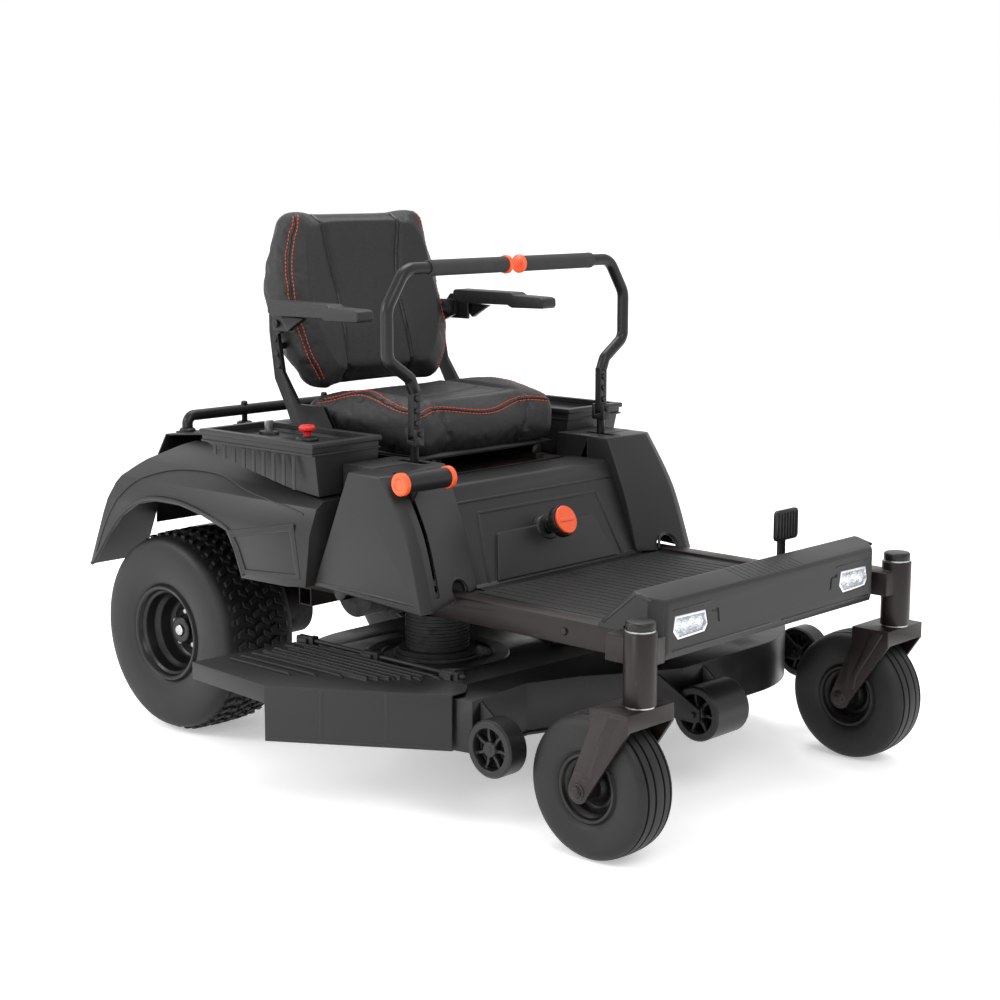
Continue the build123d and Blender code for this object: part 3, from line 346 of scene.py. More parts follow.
class Recipe:
    """One procedural material while it is written."""

    def __init__(self, name):
        self.material = bpy.data.materials.new(name)
        self.material.use_nodes = True
        self.tree = self.material.node_tree
        self.shader = self.tree.nodes["Principled BSDF"]
        self.place = self.node("ShaderNodeTexCoord", output="Object")
        MATERIALS[name] = self.material

    def feed(self, socket, value):
        if isinstance(value, Wire):
            self.tree.links.new(value.socket, socket)
        else:
            socket.default_value = value

    def node(self, kind, settings=None, inputs=None, output=0):
        made = self.tree.nodes.new(kind)
        for key, value in (settings or {}).items():
            setattr(made, key, value)
        for key, value in (inputs or {}).items():
            self.feed(made.inputs[key], value)
        return Wire(self, made.outputs[output])

    def noise(self, scale, detail=3.0, place=None):
        return self.node("ShaderNodeTexNoise", None,
                         {"Vector": place or self.place, "Scale": scale, "Detail": detail})

    def mix(self, factor, a, b):
        colours = {6: a if isinstance(a, Wire) else (*a, 1), 7: b if isinstance(b, Wire) else (*b, 1)}
        return self.node("ShaderNodeMix", {"data_type": "RGBA"}, {0: factor, **colours}, 2)

    def ramp(self, value, low, high):
        return self.node("ShaderNodeMapRange", {"interpolation_type": "SMOOTHSTEP"},
                         {"Value": value, "From Min": low, "From Max": high})

    def bump(self, height, distance, strength=1.0, normal=None):
        inputs = {"Height": height, "Distance": distance, "Strength": strength}
        if normal is not None:
            inputs["Normal"] = normal
        return self.node("ShaderNodeBump", None, inputs)

    def edges(self, radius):
        """A rounded normal, and a mask that is 1 on the edges, which the finishes use to paint highlight or shade along
        them.
        """
        soft = self.node("ShaderNodeBevel", {"samples": 4}, {"Radius": radius})
        flat = self.node("ShaderNodeNewGeometry", output="Normal")
        dot = self.node("ShaderNodeVectorMath", {"operation": "DOT_PRODUCT"}, {0: soft, 1: flat}, 1)
        return soft, self.ramp(dot, 1.0, 0.86)

    def set(self, **values):
        for key, value in values.items():
            self.feed(self.shader.inputs[key.replace("_", " ")], value)

    def dull(self, level):
        """Less reflection straight on than clear plastic has."""
        self.shader.inputs["Specular IOR Level"].default_value = level


def moulded(name, dark, light, rough=0.45, grain=700.0, depth=0.00012, painted_edge_highlight=0.5, coat=0.0):
    """Grained plastic with faint cloudy patches, smoother edges and a painted highlight along the edges."""
    r = Recipe(name)
    soft, edge = r.edges(0.0025)
    cloud = r.noise(6.0, 4.0)
    fine = r.noise(grain, 2.0)
    pebble = r.node("ShaderNodeTexVoronoi", None, {"Vector": r.place, "Scale": grain * 0.6})
    colour = r.mix(cloud, dark, light)
    # Painted highlight: the bevel mask lightens the colour along every edge, by the given strength.
    r.set(Base_Color=r.mix(edge * painted_edge_highlight, colour, tuple(c * 2.2 + 0.02 for c in light)),
          Roughness=rough + (cloud - 0.5) * 0.18 + (fine - 0.5) * 0.1 - edge * 0.08,
          Normal=r.bump(fine * 0.5 + pebble * 0.5, depth, 0.6, soft), Coat_Weight=coat)
    r.dull(0.3)


def coated(name, dark, light, rough=0.35, metallic=0.0, scratch=0.25):
    """Powder coat over steel: orange peel, dust in patches, a few fine scratches and a painted highlight along the
    edges.
    """
    r = Recipe(name)
    soft, edge = r.edges(0.002)
    peel = r.noise(420.0, 1.0)
    dust = r.ramp(r.noise(9.0, 6.0), 0.45, 0.75)
    stretched = r.node("ShaderNodeMapping", None, {"Vector": r.place, "Scale": (600, 30, 60)})
    line = r.ramp(r.noise(1.0, 2.0, stretched), 0.68, 0.74)
    colour = r.mix(dust * 0.6, dark, light)
    # The scratches are real marks; the bevel mask's share is a painted highlight along every edge.
    r.set(Base_Color=r.mix(line * scratch + edge * 0.35, colour, tuple(c * 2.5 + 0.03 for c in light)),
          Roughness=rough + dust * 0.16 + line * 0.1 + (peel - 0.5) * 0.06, Metallic=metallic,
          Normal=r.bump(peel, 0.00015, 0.5, soft))
    r.dull(0.3)


def tyre_rubber(name):
    """Moulded rubber: fine speckle and grey bloom in patches."""
    r = Recipe(name)
    speck = r.noise(900.0, 2.0)
    bloom = r.ramp(r.noise(14.0, 6.0), 0.4, 0.8)
    colour = r.mix(bloom, (0.007, 0.007, 0.0072), (0.015, 0.0148, 0.0145))
    r.set(Base_Color=colour, Roughness=0.5 + bloom * 0.16 + (speck - 0.5) * 0.15,
          Normal=r.bump(speck, 0.0002, 0.7))
    r.dull(0.3)


def vinyl(name, dark, light):
    """Coated upholstery cloth: pebbled grain with soft creases."""
    r = Recipe(name)
    grain = r.node("ShaderNodeTexVoronoi", {"feature": "DISTANCE_TO_EDGE"}, {"Vector": r.place, "Scale": 330.0})
    vein = r.ramp(grain, 0.0, 0.28)
    crease = r.noise(28.0, 5.0)
    colour = r.mix(crease * 0.6 + vein * 0.4, dark, light)
    first = r.bump(crease, 0.0016, 0.35)
    r.set(Base_Color=colour, Roughness=0.5 - vein * 0.1 + (crease - 0.5) * 0.2,
          Normal=r.bump(vein, 0.00035, 0.8, first))
    r.dull(0.32)


def foam(name):
    """Closed foam: open cells and a soft, dull face."""
    r = Recipe(name)
    cells = r.node("ShaderNodeTexVoronoi", None, {"Vector": r.place, "Scale": 420.0})
    cloud = r.noise(40.0, 3.0)
    r.set(Base_Color=r.mix(cloud, (0.012, 0.012, 0.013), (0.03, 0.03, 0.031)),
          Roughness=0.8 + (cloud - 0.5) * 0.15, Normal=r.bump(cells, 0.0006, 0.8))


def metal(name, dark, light, rough, stretch):
    """Turned or brushed metal, with lines along one way and a few stains."""
    r = Recipe(name)
    lines = r.noise(1.0, 3.0, r.node("ShaderNodeMapping", None, {"Vector": r.place, "Scale": stretch}))
    stain = r.ramp(r.noise(30.0, 5.0), 0.5, 0.8)
    r.set(Base_Color=r.mix(stain * 0.5 + lines * 0.3, light, dark), Metallic=1.0,
          Roughness=rough + lines * 0.2 + stain * 0.15, Normal=r.bump(lines, 0.0001, 0.5))


def bright(name, colour, deep):
    """Bright moulded plastic with a fine satin grain, handling marks and painted shade along the edges."""
    r = Recipe(name)
    soft, edge = r.edges(0.0015)
    cloud = r.noise(60.0, 4.0)
    fine = r.noise(1100.0, 1.0)
    # The cloudy patches are handling marks; the bevel mask's share is painted shade along every edge.
    r.set(Base_Color=r.mix(cloud * 0.5 + edge * 0.3, colour, deep),
          Roughness=0.36 + cloud * 0.14, Normal=r.bump(fine, 0.0001, 0.5, soft), Coat_Weight=0.15)


def woven_thread(name, colour, deep):
    """Twisted thread."""
    r = Recipe(name)
    twist = r.noise(1.0, 2.0, r.node("ShaderNodeMapping", None, {"Vector": r.place, "Scale": (1500, 700, 900)}))
    r.set(Base_Color=r.mix(twist, colour, deep), Roughness=0.7 + (twist - 0.5) * 0.2,
          Normal=r.bump(twist, 0.0004, 0.8))


def lamp_materials():
    r = Recipe("reflector")
    facet = r.node("ShaderNodeTexVoronoi", None, {"Vector": r.place, "Scale": 170.0})
    r.set(Base_Color=r.mix(facet, (0.92, 0.93, 0.95), (0.5, 0.51, 0.54)), Metallic=1.0,
          Roughness=0.08 + facet * 0.2, Normal=r.bump(facet, 0.0012, 0.9))
    r = Recipe("diode")
    glow = r.noise(300.0, 2.0)
    r.set(Base_Color=(0.95, 0.96, 1.0, 1), Emission_Color=r.mix(glow, (1, 1, 1), (0.8, 0.88, 1)),
          Emission_Strength=1.6, Roughness=0.2)
    r = Recipe("lens")
    haze = r.noise(220.0, 3.0)
    r.set(Base_Color=(0.9, 0.94, 1.0, 1), Roughness=0.04 + haze * 0.08, Alpha=0.16 + haze * 0.08)
    r.material.surface_render_method = "BLENDED"


class MowerColours(bpy.types.PropertyGroup):
    """Colours and camera of the mower's looks."""

    body: bpy.props.FloatVectorProperty(
        name="Body plastic", description="Colour of the moulded body", subtype="COLOR",
        default=(0.0155, 0.0155, 0.0165), size=3, min=0, max=1)
    paint: bpy.props.FloatVectorProperty(
        name="Frame paint", description="Colour of the frame's powder coat", subtype="COLOR",
        default=(0.012, 0.0075, 0.0065), size=3, min=0, max=1)
    accent: bpy.props.FloatVectorProperty(
        name="Accent", description="Colour of the knobs, caps and stitching", subtype="COLOR",
        default=(0.86, 0.09, 0.012), size=3, min=0, max=1)
    lens: bpy.props.FloatProperty(
        name="Lens", description="Focal length of the camera", default=68.66, min=20, max=200, unit="CAMERA")


class MowerSizes(bpy.types.PropertyGroup):
    """Sizes of the details that the looks add."""

    tread_depth: bpy.props.FloatProperty(
        name="Tread depth", description="Height of the rear tyre's lugs, in millimetres", default=7.0, min=2, max=12)
    stitch_radius: bpy.props.FloatProperty(
        name="Thread", description="Radius of the seat's thread, in millimetres", default=1.15, min=0.5, max=3)
    voxel: bpy.props.FloatProperty(
        name="Cushion mesh", description="Spacing of the cushions' mesh", default=0.005, min=0.003, max=0.01,
        unit="LENGTH")


# ---- the rolling parts ----
class MOWER_OT_rear_tyres(bpy.types.Operator):
    """Turf tyres with a crowned tread of short slanted lugs"""

    bl_idname = "mower.rear_tyres"
    bl_label = "Rear tyres"

    def execute(self, context):
        depth = context.scene.mower_sizes.tread_depth
        floor = REAR_R - depth
        half = [(-97, 99), (-97, 107), (-92, 110), (-98, 118), (-103, 140), (-105, 165), (-104, 190), (-99, 208),
                (-88, 217), (-70, floor - 2), (-35, floor), (0, floor + 0.5)]
        line = curve_through(half[3:], 4)
        outline = half[:3] + line + [(-x, r) for x, r in (half[:3] + line)[-2::-1]]
        for name, side in SIDES:
            centre = (side * REAR_TRACK, REAR_AXLE_Y, REAR_R)
            rows = [turned(outline, "x", centre, 96)]
            for x, slant, wide, drop, count in ((-84, 16, 12, 7.5, 40), (-58, 10, 10, 1.8, 48), (-33, -9, 9, 0.6, 48),
                                                (-11, 9, 9, 0.1, 48), (11, -9, 9, 0.1, 48), (33, 9, 9, 0.6, 48),
                                                (58, -10, 10, 1.8, 48), (84, -16, 12, 7.5, 40)):
                shape = [(x - wide, -7 - slant / 2), (x + wide, -7 + slant / 2),
                         (x + wide, 6 + slant / 2), (x - wide, 6 - slant / 2)]
                lug = slab(shape, "z", floor - drop - 3, REAR_R - drop - 0.1, 1.2, 1)
                if abs(x) > 80:
                    outer = 1 if x > 0 else -1
                    for v in lug.verts:
                        v.co.z -= max(0.0, (v.co.x - x) * outer + 4) * 0.55
                phase = (x * 0.37) % 3 * 0.05
                moved(lug, Matrix.Rotation(phase, 4, "X"))
                moved(lug, Matrix.Translation(centre))
                rows.append(repeated(lug, count, "x", centre))
            finished("rear_tyre_" + name + "_turf", joined(*rows), "tyre", "rear_wheel_" + name,
                     ("rear_tyre_" + name,), 28)
        return {"FINISHED"}


class MOWER_OT_rear_rims(bpy.types.Operator):
    """Deep dished steel rims with stepped wells, wheel bolts and an axle nut"""

    bl_idname = "mower.rear_rims"
    bl_label = "Rear rims"

    def execute(self, context):
        profile = [(98, 109), (101, 106), (100, 102), (94, 98), (88, 96), (84, 90), (62, 88), (57, 84), (52, 78),
                   (30, 75), (25, 72), (20, 66), (21, 58), (30, 52), (34, 46), (35, 36), (40, 32), (55, 30), (57, 27),
                   (57, 14), (52, 12), (-60, 12), (-60, 80), (-62, 88), (-84, 90), (-88, 96), (-94, 98), (-100, 102),
                   (-101, 106), (-98, 109), (-92, 104), (-80, 96), (80, 96), (92, 104)]
        for name, side in SIDES:
            rim = turned(profile, "x", (0, 0, 0), 72)
            bevelled(rim, 0.8, 2, 25)
            axle = [stud(-190, 60, 62, 12.5, 10, "x", (0, 0, 0), 32), rod(30, 50, 15, "x", (0, 0, 0), 6)]
            bolt = stud(32, 40, 42, 7.5, 5.5, "x", (0, 0, 0), 6)
            moved(bolt, Matrix.Translation((0, 0, 41)))
            bolts = repeated(bolt, 5, "x", (0, 0, 0))
            centre = Matrix.Translation((side * REAR_TRACK, REAR_AXLE_Y, REAR_R))
            body = "rear_wheel_" + name
            finished("rear_rim_" + name + "_dish", moved(sided(rim, side), centre), "rim", body,
                     ("rear_rim_" + name,), 30)
            finished("rear_rim_" + name + "_bolts", moved(sided(joined(bolts, *axle), side), centre), "steel", body,
                     (), 30)
        return {"FINISHED"}


class MOWER_OT_casters(bpy.types.Operator):
    """Ribbed front tyres on stepped rims, in forks with tapering arms"""

    bl_idname = "mower.casters"
    bl_label = "Front casters"

    def execute(self, context):
        half = [(-43, 61), (-44, 66), (-41, 69), (-47, 76), (-51, 92), (-51.5, 108), (-49, 122), (-44, 131),
                (-38.5, 135.5)]
        side_wall = half[:3] + curve_through(half[3:], 3)
        ribs = [(-37, 136.4), (-34, 137.2), (-33.6, 133), (-29.6, 133), (-29, 138), (-24, 138.6), (-15, 139),
                (-14.6, 134.6), (-10.6, 134.6), (-10, 139.3), (-5, 139.6), (0, 139.7)]
        outline = side_wall + ribs + [(-x, r) for x, r in (side_wall + ribs)[-2::-1]]
        rim_half = [(59, 8.2), (59, 17), (55, 20), (40, 21), (30, 24), (24, 30), (20, 33), (14, 36), (12, 42), (18, 47),
                    (30, 49), (35, 53), (38, 57), (45, 60), (46, 65), (43.5, 67)]
        rim_line = rim_half + [(38, 62), (-38, 62)] + [(-x, r) for x, r in rim_half[::-1]]
        for name, side in SIDES:
            centre = (side * CASTER_X, CASTER_AXLE_Y, CASTER_R)
            body = "caster_wheel_" + name
            tyre = turned(outline, "x", centre, 84)
            finished("caster_tyre_" + name + "_ribbed", tyre, "tyre", body,
                     ("caster_tyre_" + name,), 28)
            rim = bevelled(turned(rim_line, "x", centre, 64), 0.6, 2, 25)
            finished("caster_rim_" + name + "_steps", rim, "rim", body, ("caster_rim_" + name,), 30)
            fork = bevelled(copied("caster_fork_" + name), 1.6, 2, 25)
            parts = [fork]
            for out in (-1, 1):
                x = side * CASTER_X + out * FORK_FACE
                washer = stud(0, 2.5, 3, 16, 15.4, "x", (0, 0, 0), 28)
                washer = sided(washer, out)
                parts.append(moved(washer, Matrix.Translation((x, CASTER_AXLE_Y, CASTER_R))))
                nut = stud(0, 8, 10, 12, 9.5, "x", (0, 0, 0), 6)
                parts.append(moved(sided(nut, out), Matrix.Translation((x + out * 1.5, CASTER_AXLE_Y, CASTER_R))))
                rib = slab([(-507, 296), (-478, 296), (-434, 196), (-430, 166), (-440, 166), (-446, 196)], "x",
                           x - 1.2, x + 1.2, 1.0, 2)
                parts.append(rib)
            finished("caster_fork_" + name + "_arms", joined(*parts), "paint", "caster_" + name,
                     ("caster_fork_" + name,), 30)
        return {"FINISHED"}


class MOWER_OT_rollers(bpy.types.Operator):
    """Anti-scalp wheels with curved spokes, on their pins"""

    bl_idname = "mower.rollers"
    bl_label = "Anti-scalp wheels"

    def execute(self, context):
        for name, x, y, half in (("right", -490, -195, 25), ("left", 535, -195, 25), ("front", 0, -335, 55)):
            centre = (x, y, ROLLER_Z)
            rings = [turned([(-half, 42), (-half, 53), (-half + 4, 57), (half - 4, 57), (half, 53), (half, 42),
                             (half - 4, 40), (-half + 4, 40)], "x", centre, 56),
                     turned([(-half + 1, 6), (-half + 1, 14), (-half + 4, 16), (half - 4, 16), (half - 1, 14),
                             (half - 1, 6)], "x", centre, 32)]
            spoke = slab([(-3, 12), (3.5, 12), (8, 24), (9, 42), (3, 42), (2, 26)], "x", -half + 6, half - 6, 1.2, 2)
            moved(spoke, Matrix.Translation(centre))
            rings.append(repeated(spoke, 7, "x", centre))
            web = collar(-3, 3, 14, 42, "x", centre, 40)
            low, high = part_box("roller_" + name)
            pin_low, pin_high = (FROM_FRAME @ low).x, (FROM_FRAME @ high).x
            pin = rod(pin_low, pin_high, 6, "x", (0, y, ROLLER_Z), 24)
            whole = joined(*rings, web, pin)
            finished("roller_" + name + "_spoked", whole, "hard_black", "roller_" + name,
                     ("roller_" + name,), 30)
        return {"FINISHED"}


# ---- the body ----
def lamp_shape(grow, x):
    """The lamp's six-sided outline round its middle, drawn out by grow."""
    w, h, c = 53 + grow, 23 + grow, 15 + grow * 0.4
    corners = [(-w, 2 - h + c), (-w + c, -h), (w - c * 0.6, -h + 2), (w, -h + c), (w - c * 0.5, h - 2), (-w + 5, h)]
    return [(x + a, LAMP_Z + b) for a, b in corners]


class MOWER_OT_footrest_cover(bpy.types.Operator):
    """The front cover with its ledge, grip ribs, side creases and lamp openings"""

    bl_idname = "mower.footrest_cover"
    bl_label = "Footrest cover"

    def execute(self, context):
        outline = [(-480, 369), (-488, 384), (-488, 478), (-484, 484), (-430, 498), (-424, 497), (-344, 424),
                   (-341, 418), (-341, 369)]
        inner = [(-475, 360), (-483, 386), (-483, 477), (-430, 492), (-426, 491), (-346, 419), (-345, 360)]
        shell = slab(outline, "x", -372, 372)
        shell = cut(shell, *(slab([(side * 334, -500), (side * 384, -500), (side * 384, -448)], "z", 350, 520)
                             for side in (-1, 1)))
        bevelled(shell, 3.0, 3, 14)
        cutters = [slab(inner, "x", -350, 350), box(-380, 380, -470, -405, 355, 429),
                   box(-380, 380, -412, -330, 355, 417), box(176, 204, -424, -338, 420, 510)]
        for side in (-1, 1):
            cutters.append(slab(lamp_shape(0.5, side * LAMP_X), "y", -500, -470))
            cutters.append(slab([(side * 186, 418), (side * 190, 446), (side * 214, 448), (side * 214, 442),
                                 (side * 196, 440), (side * 193, 420)], "y", -500, -485.5))
        for k in range(13):
            x = -96 + 16 * k
            cutters.append(moved(box(x - 3, x + 3, -28, 28, -1.4, 3),
                                 Matrix.Translation((0, -457, 491.6)) @ Matrix.Rotation(math.radians(14.5), 4, "X")))
        shell = cut(shell, *cutters)
        finished("footrest_cover_moulding", shell, "body", "chassis", ("footrest_cover",), 30)
        trims = []
        for side in (-1, 1):
            trims.append(box(side * 210, side * 330, -489.3, -487, 461, 463.5, 0.8, 2))
            trims.append(box(side * 20, side * 330, -489.3, -487, 384, 387, 0.8, 2))
        for side in (-1, 1):
            trims.append(slab([(-470, 487), (-432, 496.8), (-352, 430), (-356, 426), (-433, 490), (-468, 481)], "x",
                              side * 372, side * 373.2, 0.5, 2))
        for k in range(3):
            trims.append(tube([(-330, -402 + 22 * k, 477.5 - 20 * k), (150, -402 + 22 * k, 477.5 - 20 * k)], 1.1))
        finished("footrest_cover_trim", joined(*trims), "body_gloss", "chassis")
        return {"FINISHED"}


class MOWER_OT_headlights(bpy.types.Operator):
    """Six-sided lamps: faceted reflectors, three diodes each and a clear lens"""

    bl_idname = "mower.headlights"
    bl_label = "Headlights"

    def execute(self, context):
        bowls, diodes, lenses, bezels = [], [], [], []
        for side in (-1, 1):
            x = side * LAMP_X
            bezel = cut(slab(lamp_shape(0, x), "y", -487.5, -462, 1.2, 2), slab(lamp_shape(-4.5, x), "y", -495, -466))
            bezels.append(bezel)
            bowls.append(slab(lamp_shape(-4.6, x), "y", -468, -465, 0.8, 2))
            for k in range(4):
                place = (x - 33 + 22 * k, 0, 429 - (k % 2) * 3)
                cup = turned([(-482, 10.5), (-470, 4.5), (-468, 4.5), (-468, 11.5), (-482, 11.5)], "y", place, 20)
                bowls.append(cup)
                bead = bmesh.new()
                bmesh.ops.create_uvsphere(bead, u_segments=16, v_segments=10, radius=4.4)
                diodes.append(moved(bead, Matrix.Translation((place[0], -473, place[2]))))
            for k in range(5):
                bowls.append(box(x - 44 + 20 * k, x - 38 + 20 * k, -476, -468, 409, 413, 0.8, 1))
                bowls.append(box(x - 42 + 18 * k, x - 36 + 18 * k, -478, -468, 441, 446, 0.8, 1))
            lenses.append(slab(lamp_shape(-4.7, x), "y", -486, -483.5, 0.7, 2))
        for name, shapes, material, slot, nodes in (
                ("headlight_bezels", bezels, "silver", "lamp_chrome", ("headlight_housings",)),
                ("headlight_reflectors", bowls, "reflector", "lamp_chrome", ()),
                ("headlight_diodes", diodes, "diode", "lamp_chrome", ()),
                ("headlight_lens_pair", lenses, "lens", "lens", ("headlight_lenses",))):
            finished(name, joined(*shapes), material, "chassis", nodes)
        return {"FINISHED"}


def knee_place(rise, up):
    """The place on the knee panel's slope, so far up it and so far off it."""
    slope = math.atan2(165 - 80, 612 - 410)
    lean = Matrix.Rotation(-slope, 4, "X")
    return Matrix.Translation((0, 80, 410)) @ lean @ Matrix.Translation((0, -up, rise))


class MOWER_OT_knee_panel(bpy.types.Operator):
    """The panel behind the feet: a sloping face with a raised low centre and pressed lines"""

    bl_idname = "mower.knee_panel"
    bl_label = "Knee panel"

    def execute(self, context):
        outline = [(80, 410), (161, 603), (165, 609), (171, 612), (264, 612), (264, 609), (171, 608), (166, 603),
                   (84, 410)]
        sheet = slab(outline, "x", -261.7, 261.7, 0.9, 2, 25)
        pad = slab([(-196, 2), (-158, 100), (-150, 104), (150, 104), (158, 100), (196, 2)], "y", -6, 2, 3.2, 3)
        band = slab([(-250, 178), (250, 178), (250, 183), (-250, 183)], "y", -2.4, 1, 1.0, 2)
        frame_lines = []
        for side in (-1, 1):
            frame_lines.append(slab([(side * 214, 4), (side * 222, 4), (side * 196, 150), (side * 189, 150)], "y",
                                    -2.2, 1, 0.9, 2))
        top_line = slab([(-196, 150), (196, 150), (192, 156), (-192, 156)], "y", -2.2, 1, 0.9, 2)
        bezel = turned([(-9, 0), (-9, 26), (-5, 29), (1, 30), (1, 0)], "y", (0, 0, 95), 48)
        bmesh.ops.scale(bezel, vec=(1.25, 1, 1), verts=bezel.verts[:])
        hole = rod(-30, 20, 9.4, "y", (0, 0, 95), 24)
        face = joined(*(moved(s, knee_place(0, 0)) for s in (pad, band, *frame_lines, top_line, bezel)))
        foot = slab([(68, 406.5), (84, 406.5), (86, 414), (80, 414)], "x", -261, 261, 0.8, 2)
        # A thin dark strip from the panel's top back to the seat support closes the gap so the pale floor can't show
        # through: a sheet that stands in for shade there.
        lip = slab([(255, 607), (282, 607), (282, 609.5), (255, 609.5)], "x", -261, 261, 0.6, 1)
        whole = joined(cut(joined(sheet, face), moved(hole, knee_place(0, 0))), foot, lip)
        finished("knee_panel_moulding", whole, "body", "chassis", ("knee_panel",), 30)
        return {"FINISHED"}


class MOWER_OT_towers(bpy.types.Operator):
    """The two side towers: bowed fronts with bevel strips, rod slots and rail arches"""

    bl_idname = "mower.towers"
    bl_label = "Side towers"

    def execute(self, context):
        for name, side in SIDES:
            wide = self.LEFT if side > 0 else self.RIGHT
            outer = self.loft(0.0, *wide)
            hollow = self.loft(3.5, *wide)
            cutters = [hollow, box(286, 314, 173, 267, 640, 670)]
            arch = joined(box(314, 366, -40, 120, 380, 418), rod(-40, 120, 27, "y", (340, 0, 418), 40))
            cutters.append(arch)
            if side < 0:
                cutters.append(box(417, 433, -40, 152, 422, 668))
            shell = cut(outer, *cutters)
            parts = [shell, self.arch_lip()]
            outer_x, foot_y = wide[0], wide[3]
            parts.append(slab([(foot_y + 30, 417), (foot_y + 34, 414), (318, 420), (318, 424)], "x", outer_x - 0.6,
                              outer_x + 1.0, 0.5, 2))
            parts.append(cut(slab([(284, 171), (316, 171), (316, 269), (284, 269)], "z", 661, 664, 1.0, 2),
                             box(288, 312, 175, 265, 655, 670)))
            shelf = joined(slab([(262, 215), (411, 215), (411, 315), (262, 315)], "z", 659, 662, 0.8, 2),
                           box(408, 411, 225, 315, 604, 660), box(262, 265, 225, 315, 604, 660))
            parts.append(cut(shelf, box(286, 314, 173, 267, 640, 670)))
            finished("tower_" + name + "_moulding", sided(joined(*parts), side), "body", "chassis",
                     ("tower_" + name,), 34)
        return {"FINISHED"}

    LEFT = (411, 154, 77, 23, 404)
    RIGHT = (483, 118, 46, 5, 397)

    def section(self, top, middle, foot_y, foot, inset):
        """One side view of a tower: a bowed front edge, then the back edge up to the top."""
        line = [(foot_y + inset, foot - inset * 4), (middle + inset, 545), (top + inset, 662 - inset)]
        front = curve_through(line, 7)
        return front + [(223 + inset * 2, 662 - inset), (331 + inset * 3, foot + 17 - inset * 4)]

    def loft(self, inset, outer_x, top, middle, foot_y, foot):
        """The tower between its inner and outer side views, with a bevel strip down its outer front."""
        bm = bmesh.new()
        inner = self.section(165, 115, 73, 411, inset)
        outer = self.section(top, middle, foot_y, foot, inset)
        strip = 26.0
        views = ((262 + inset, inner, 0.0), (outer_x - strip, outer, -4.0), (outer_x - inset, outer, strip - 14.0))
        loops = []
        for x, view, back in views:
            if x == outer_x - strip:
                share = (x - 262) / (outer_x - 262)
                view = [(p + (s - p) * share, q + (t - q) * share) for (p, q), (s, t) in zip(inner, outer)]
            bow = [(p + (back if i < 15 else 0), q) for i, (p, q) in enumerate(view)]
            loops.append([bm.verts.new((x, p, q)) for p, q in bow])
        edges = [ring_edges(bm, loop) for loop in loops]
        bm.faces.new(loops[0])
        bm.faces.new(loops[2])
        bmesh.ops.bridge_loops(bm, edges=edges[0] + edges[1])
        bmesh.ops.bridge_loops(bm, edges=edges[1] + edges[2])
        bmesh.ops.recalc_face_normals(bm, faces=bm.faces[:])
        return bm if inset else bevelled(bm, 3.0, 3, 30)

    def arch_lip(self):
        """The bead round the opening for the rail, on the tower's sloping front."""
        line = [(313, 58, 399), (313, 53, 418)]
        for k in range(13):
            a = math.pi * k / 12
            z = 418 + 27 * math.sin(a)
            line.append((340 - 27 * math.cos(a), 54 - 3 * math.cos(a) - (z - 418) * -0.38 - 12 * k / 12, z))
        line += [(367, 44, 418), (367, 40, 399)]
        return tube(line, 3.0)


class MOWER_OT_fenders(bpy.types.Operator):
    """The rear fenders with a rolled lip round the wheel opening and a raised top line"""

    bl_idname = "mower.fenders"
    bl_label = "Fenders"

    def execute(self, context):
        arch = [(1092, 358), (1079, 366), (1020, 438), (967, 490), (905, 525), (845, 538), (759, 539), (675, 526),
                (590, 503), (563, 464), (538, 407)]
        top = [(352, 560), (420, 572), (548, 585), (660, 604), (760, 606), (850, 596), (930, 566), (985, 520),
               (1030, 462), (1072, 384)]
        for name, side in SIDES:
            shell = bevelled(copied("fender_" + name), 1.4, 2, 30)
            line = [(499.5, y, z) for y, z in curve_through(arch, 4)]
            lip = joined(tube(line, 4.5), tube([(x - 7, y, z + 7) for x, y, z in line], 2.4))
            edge = []
            for y, z in curve_through(top, 4):
                x = 485 - max(0.0, z - 575) * 45 / 37 if z > 575 else 485 + (575 - z) * 15 / 55
                edge.append((min(x, 499.6) + 0.4, y, z + 0.5))
            line = tube(edge, 2.0)
            pillar = slab([(352, 424), (540, 410), (566, 470), (586, 500), (372, 540)], "x", 498.4, 501.6, 2.2, 3)
            inset = slab([(366, 434), (530, 421), (552, 468), (566, 488), (384, 523)], "x", 496, 502.4, 1.0, 2)
            pillar = cut(pillar, inset)
            finished("fender_" + name + "_moulding", shell, "body", "chassis", ("fender_" + name,), 38)
            finished("fender_" + name + "_lip", sided(joined(lip, line, pillar), side), "body", "chassis")
        return {"FINISHED"}


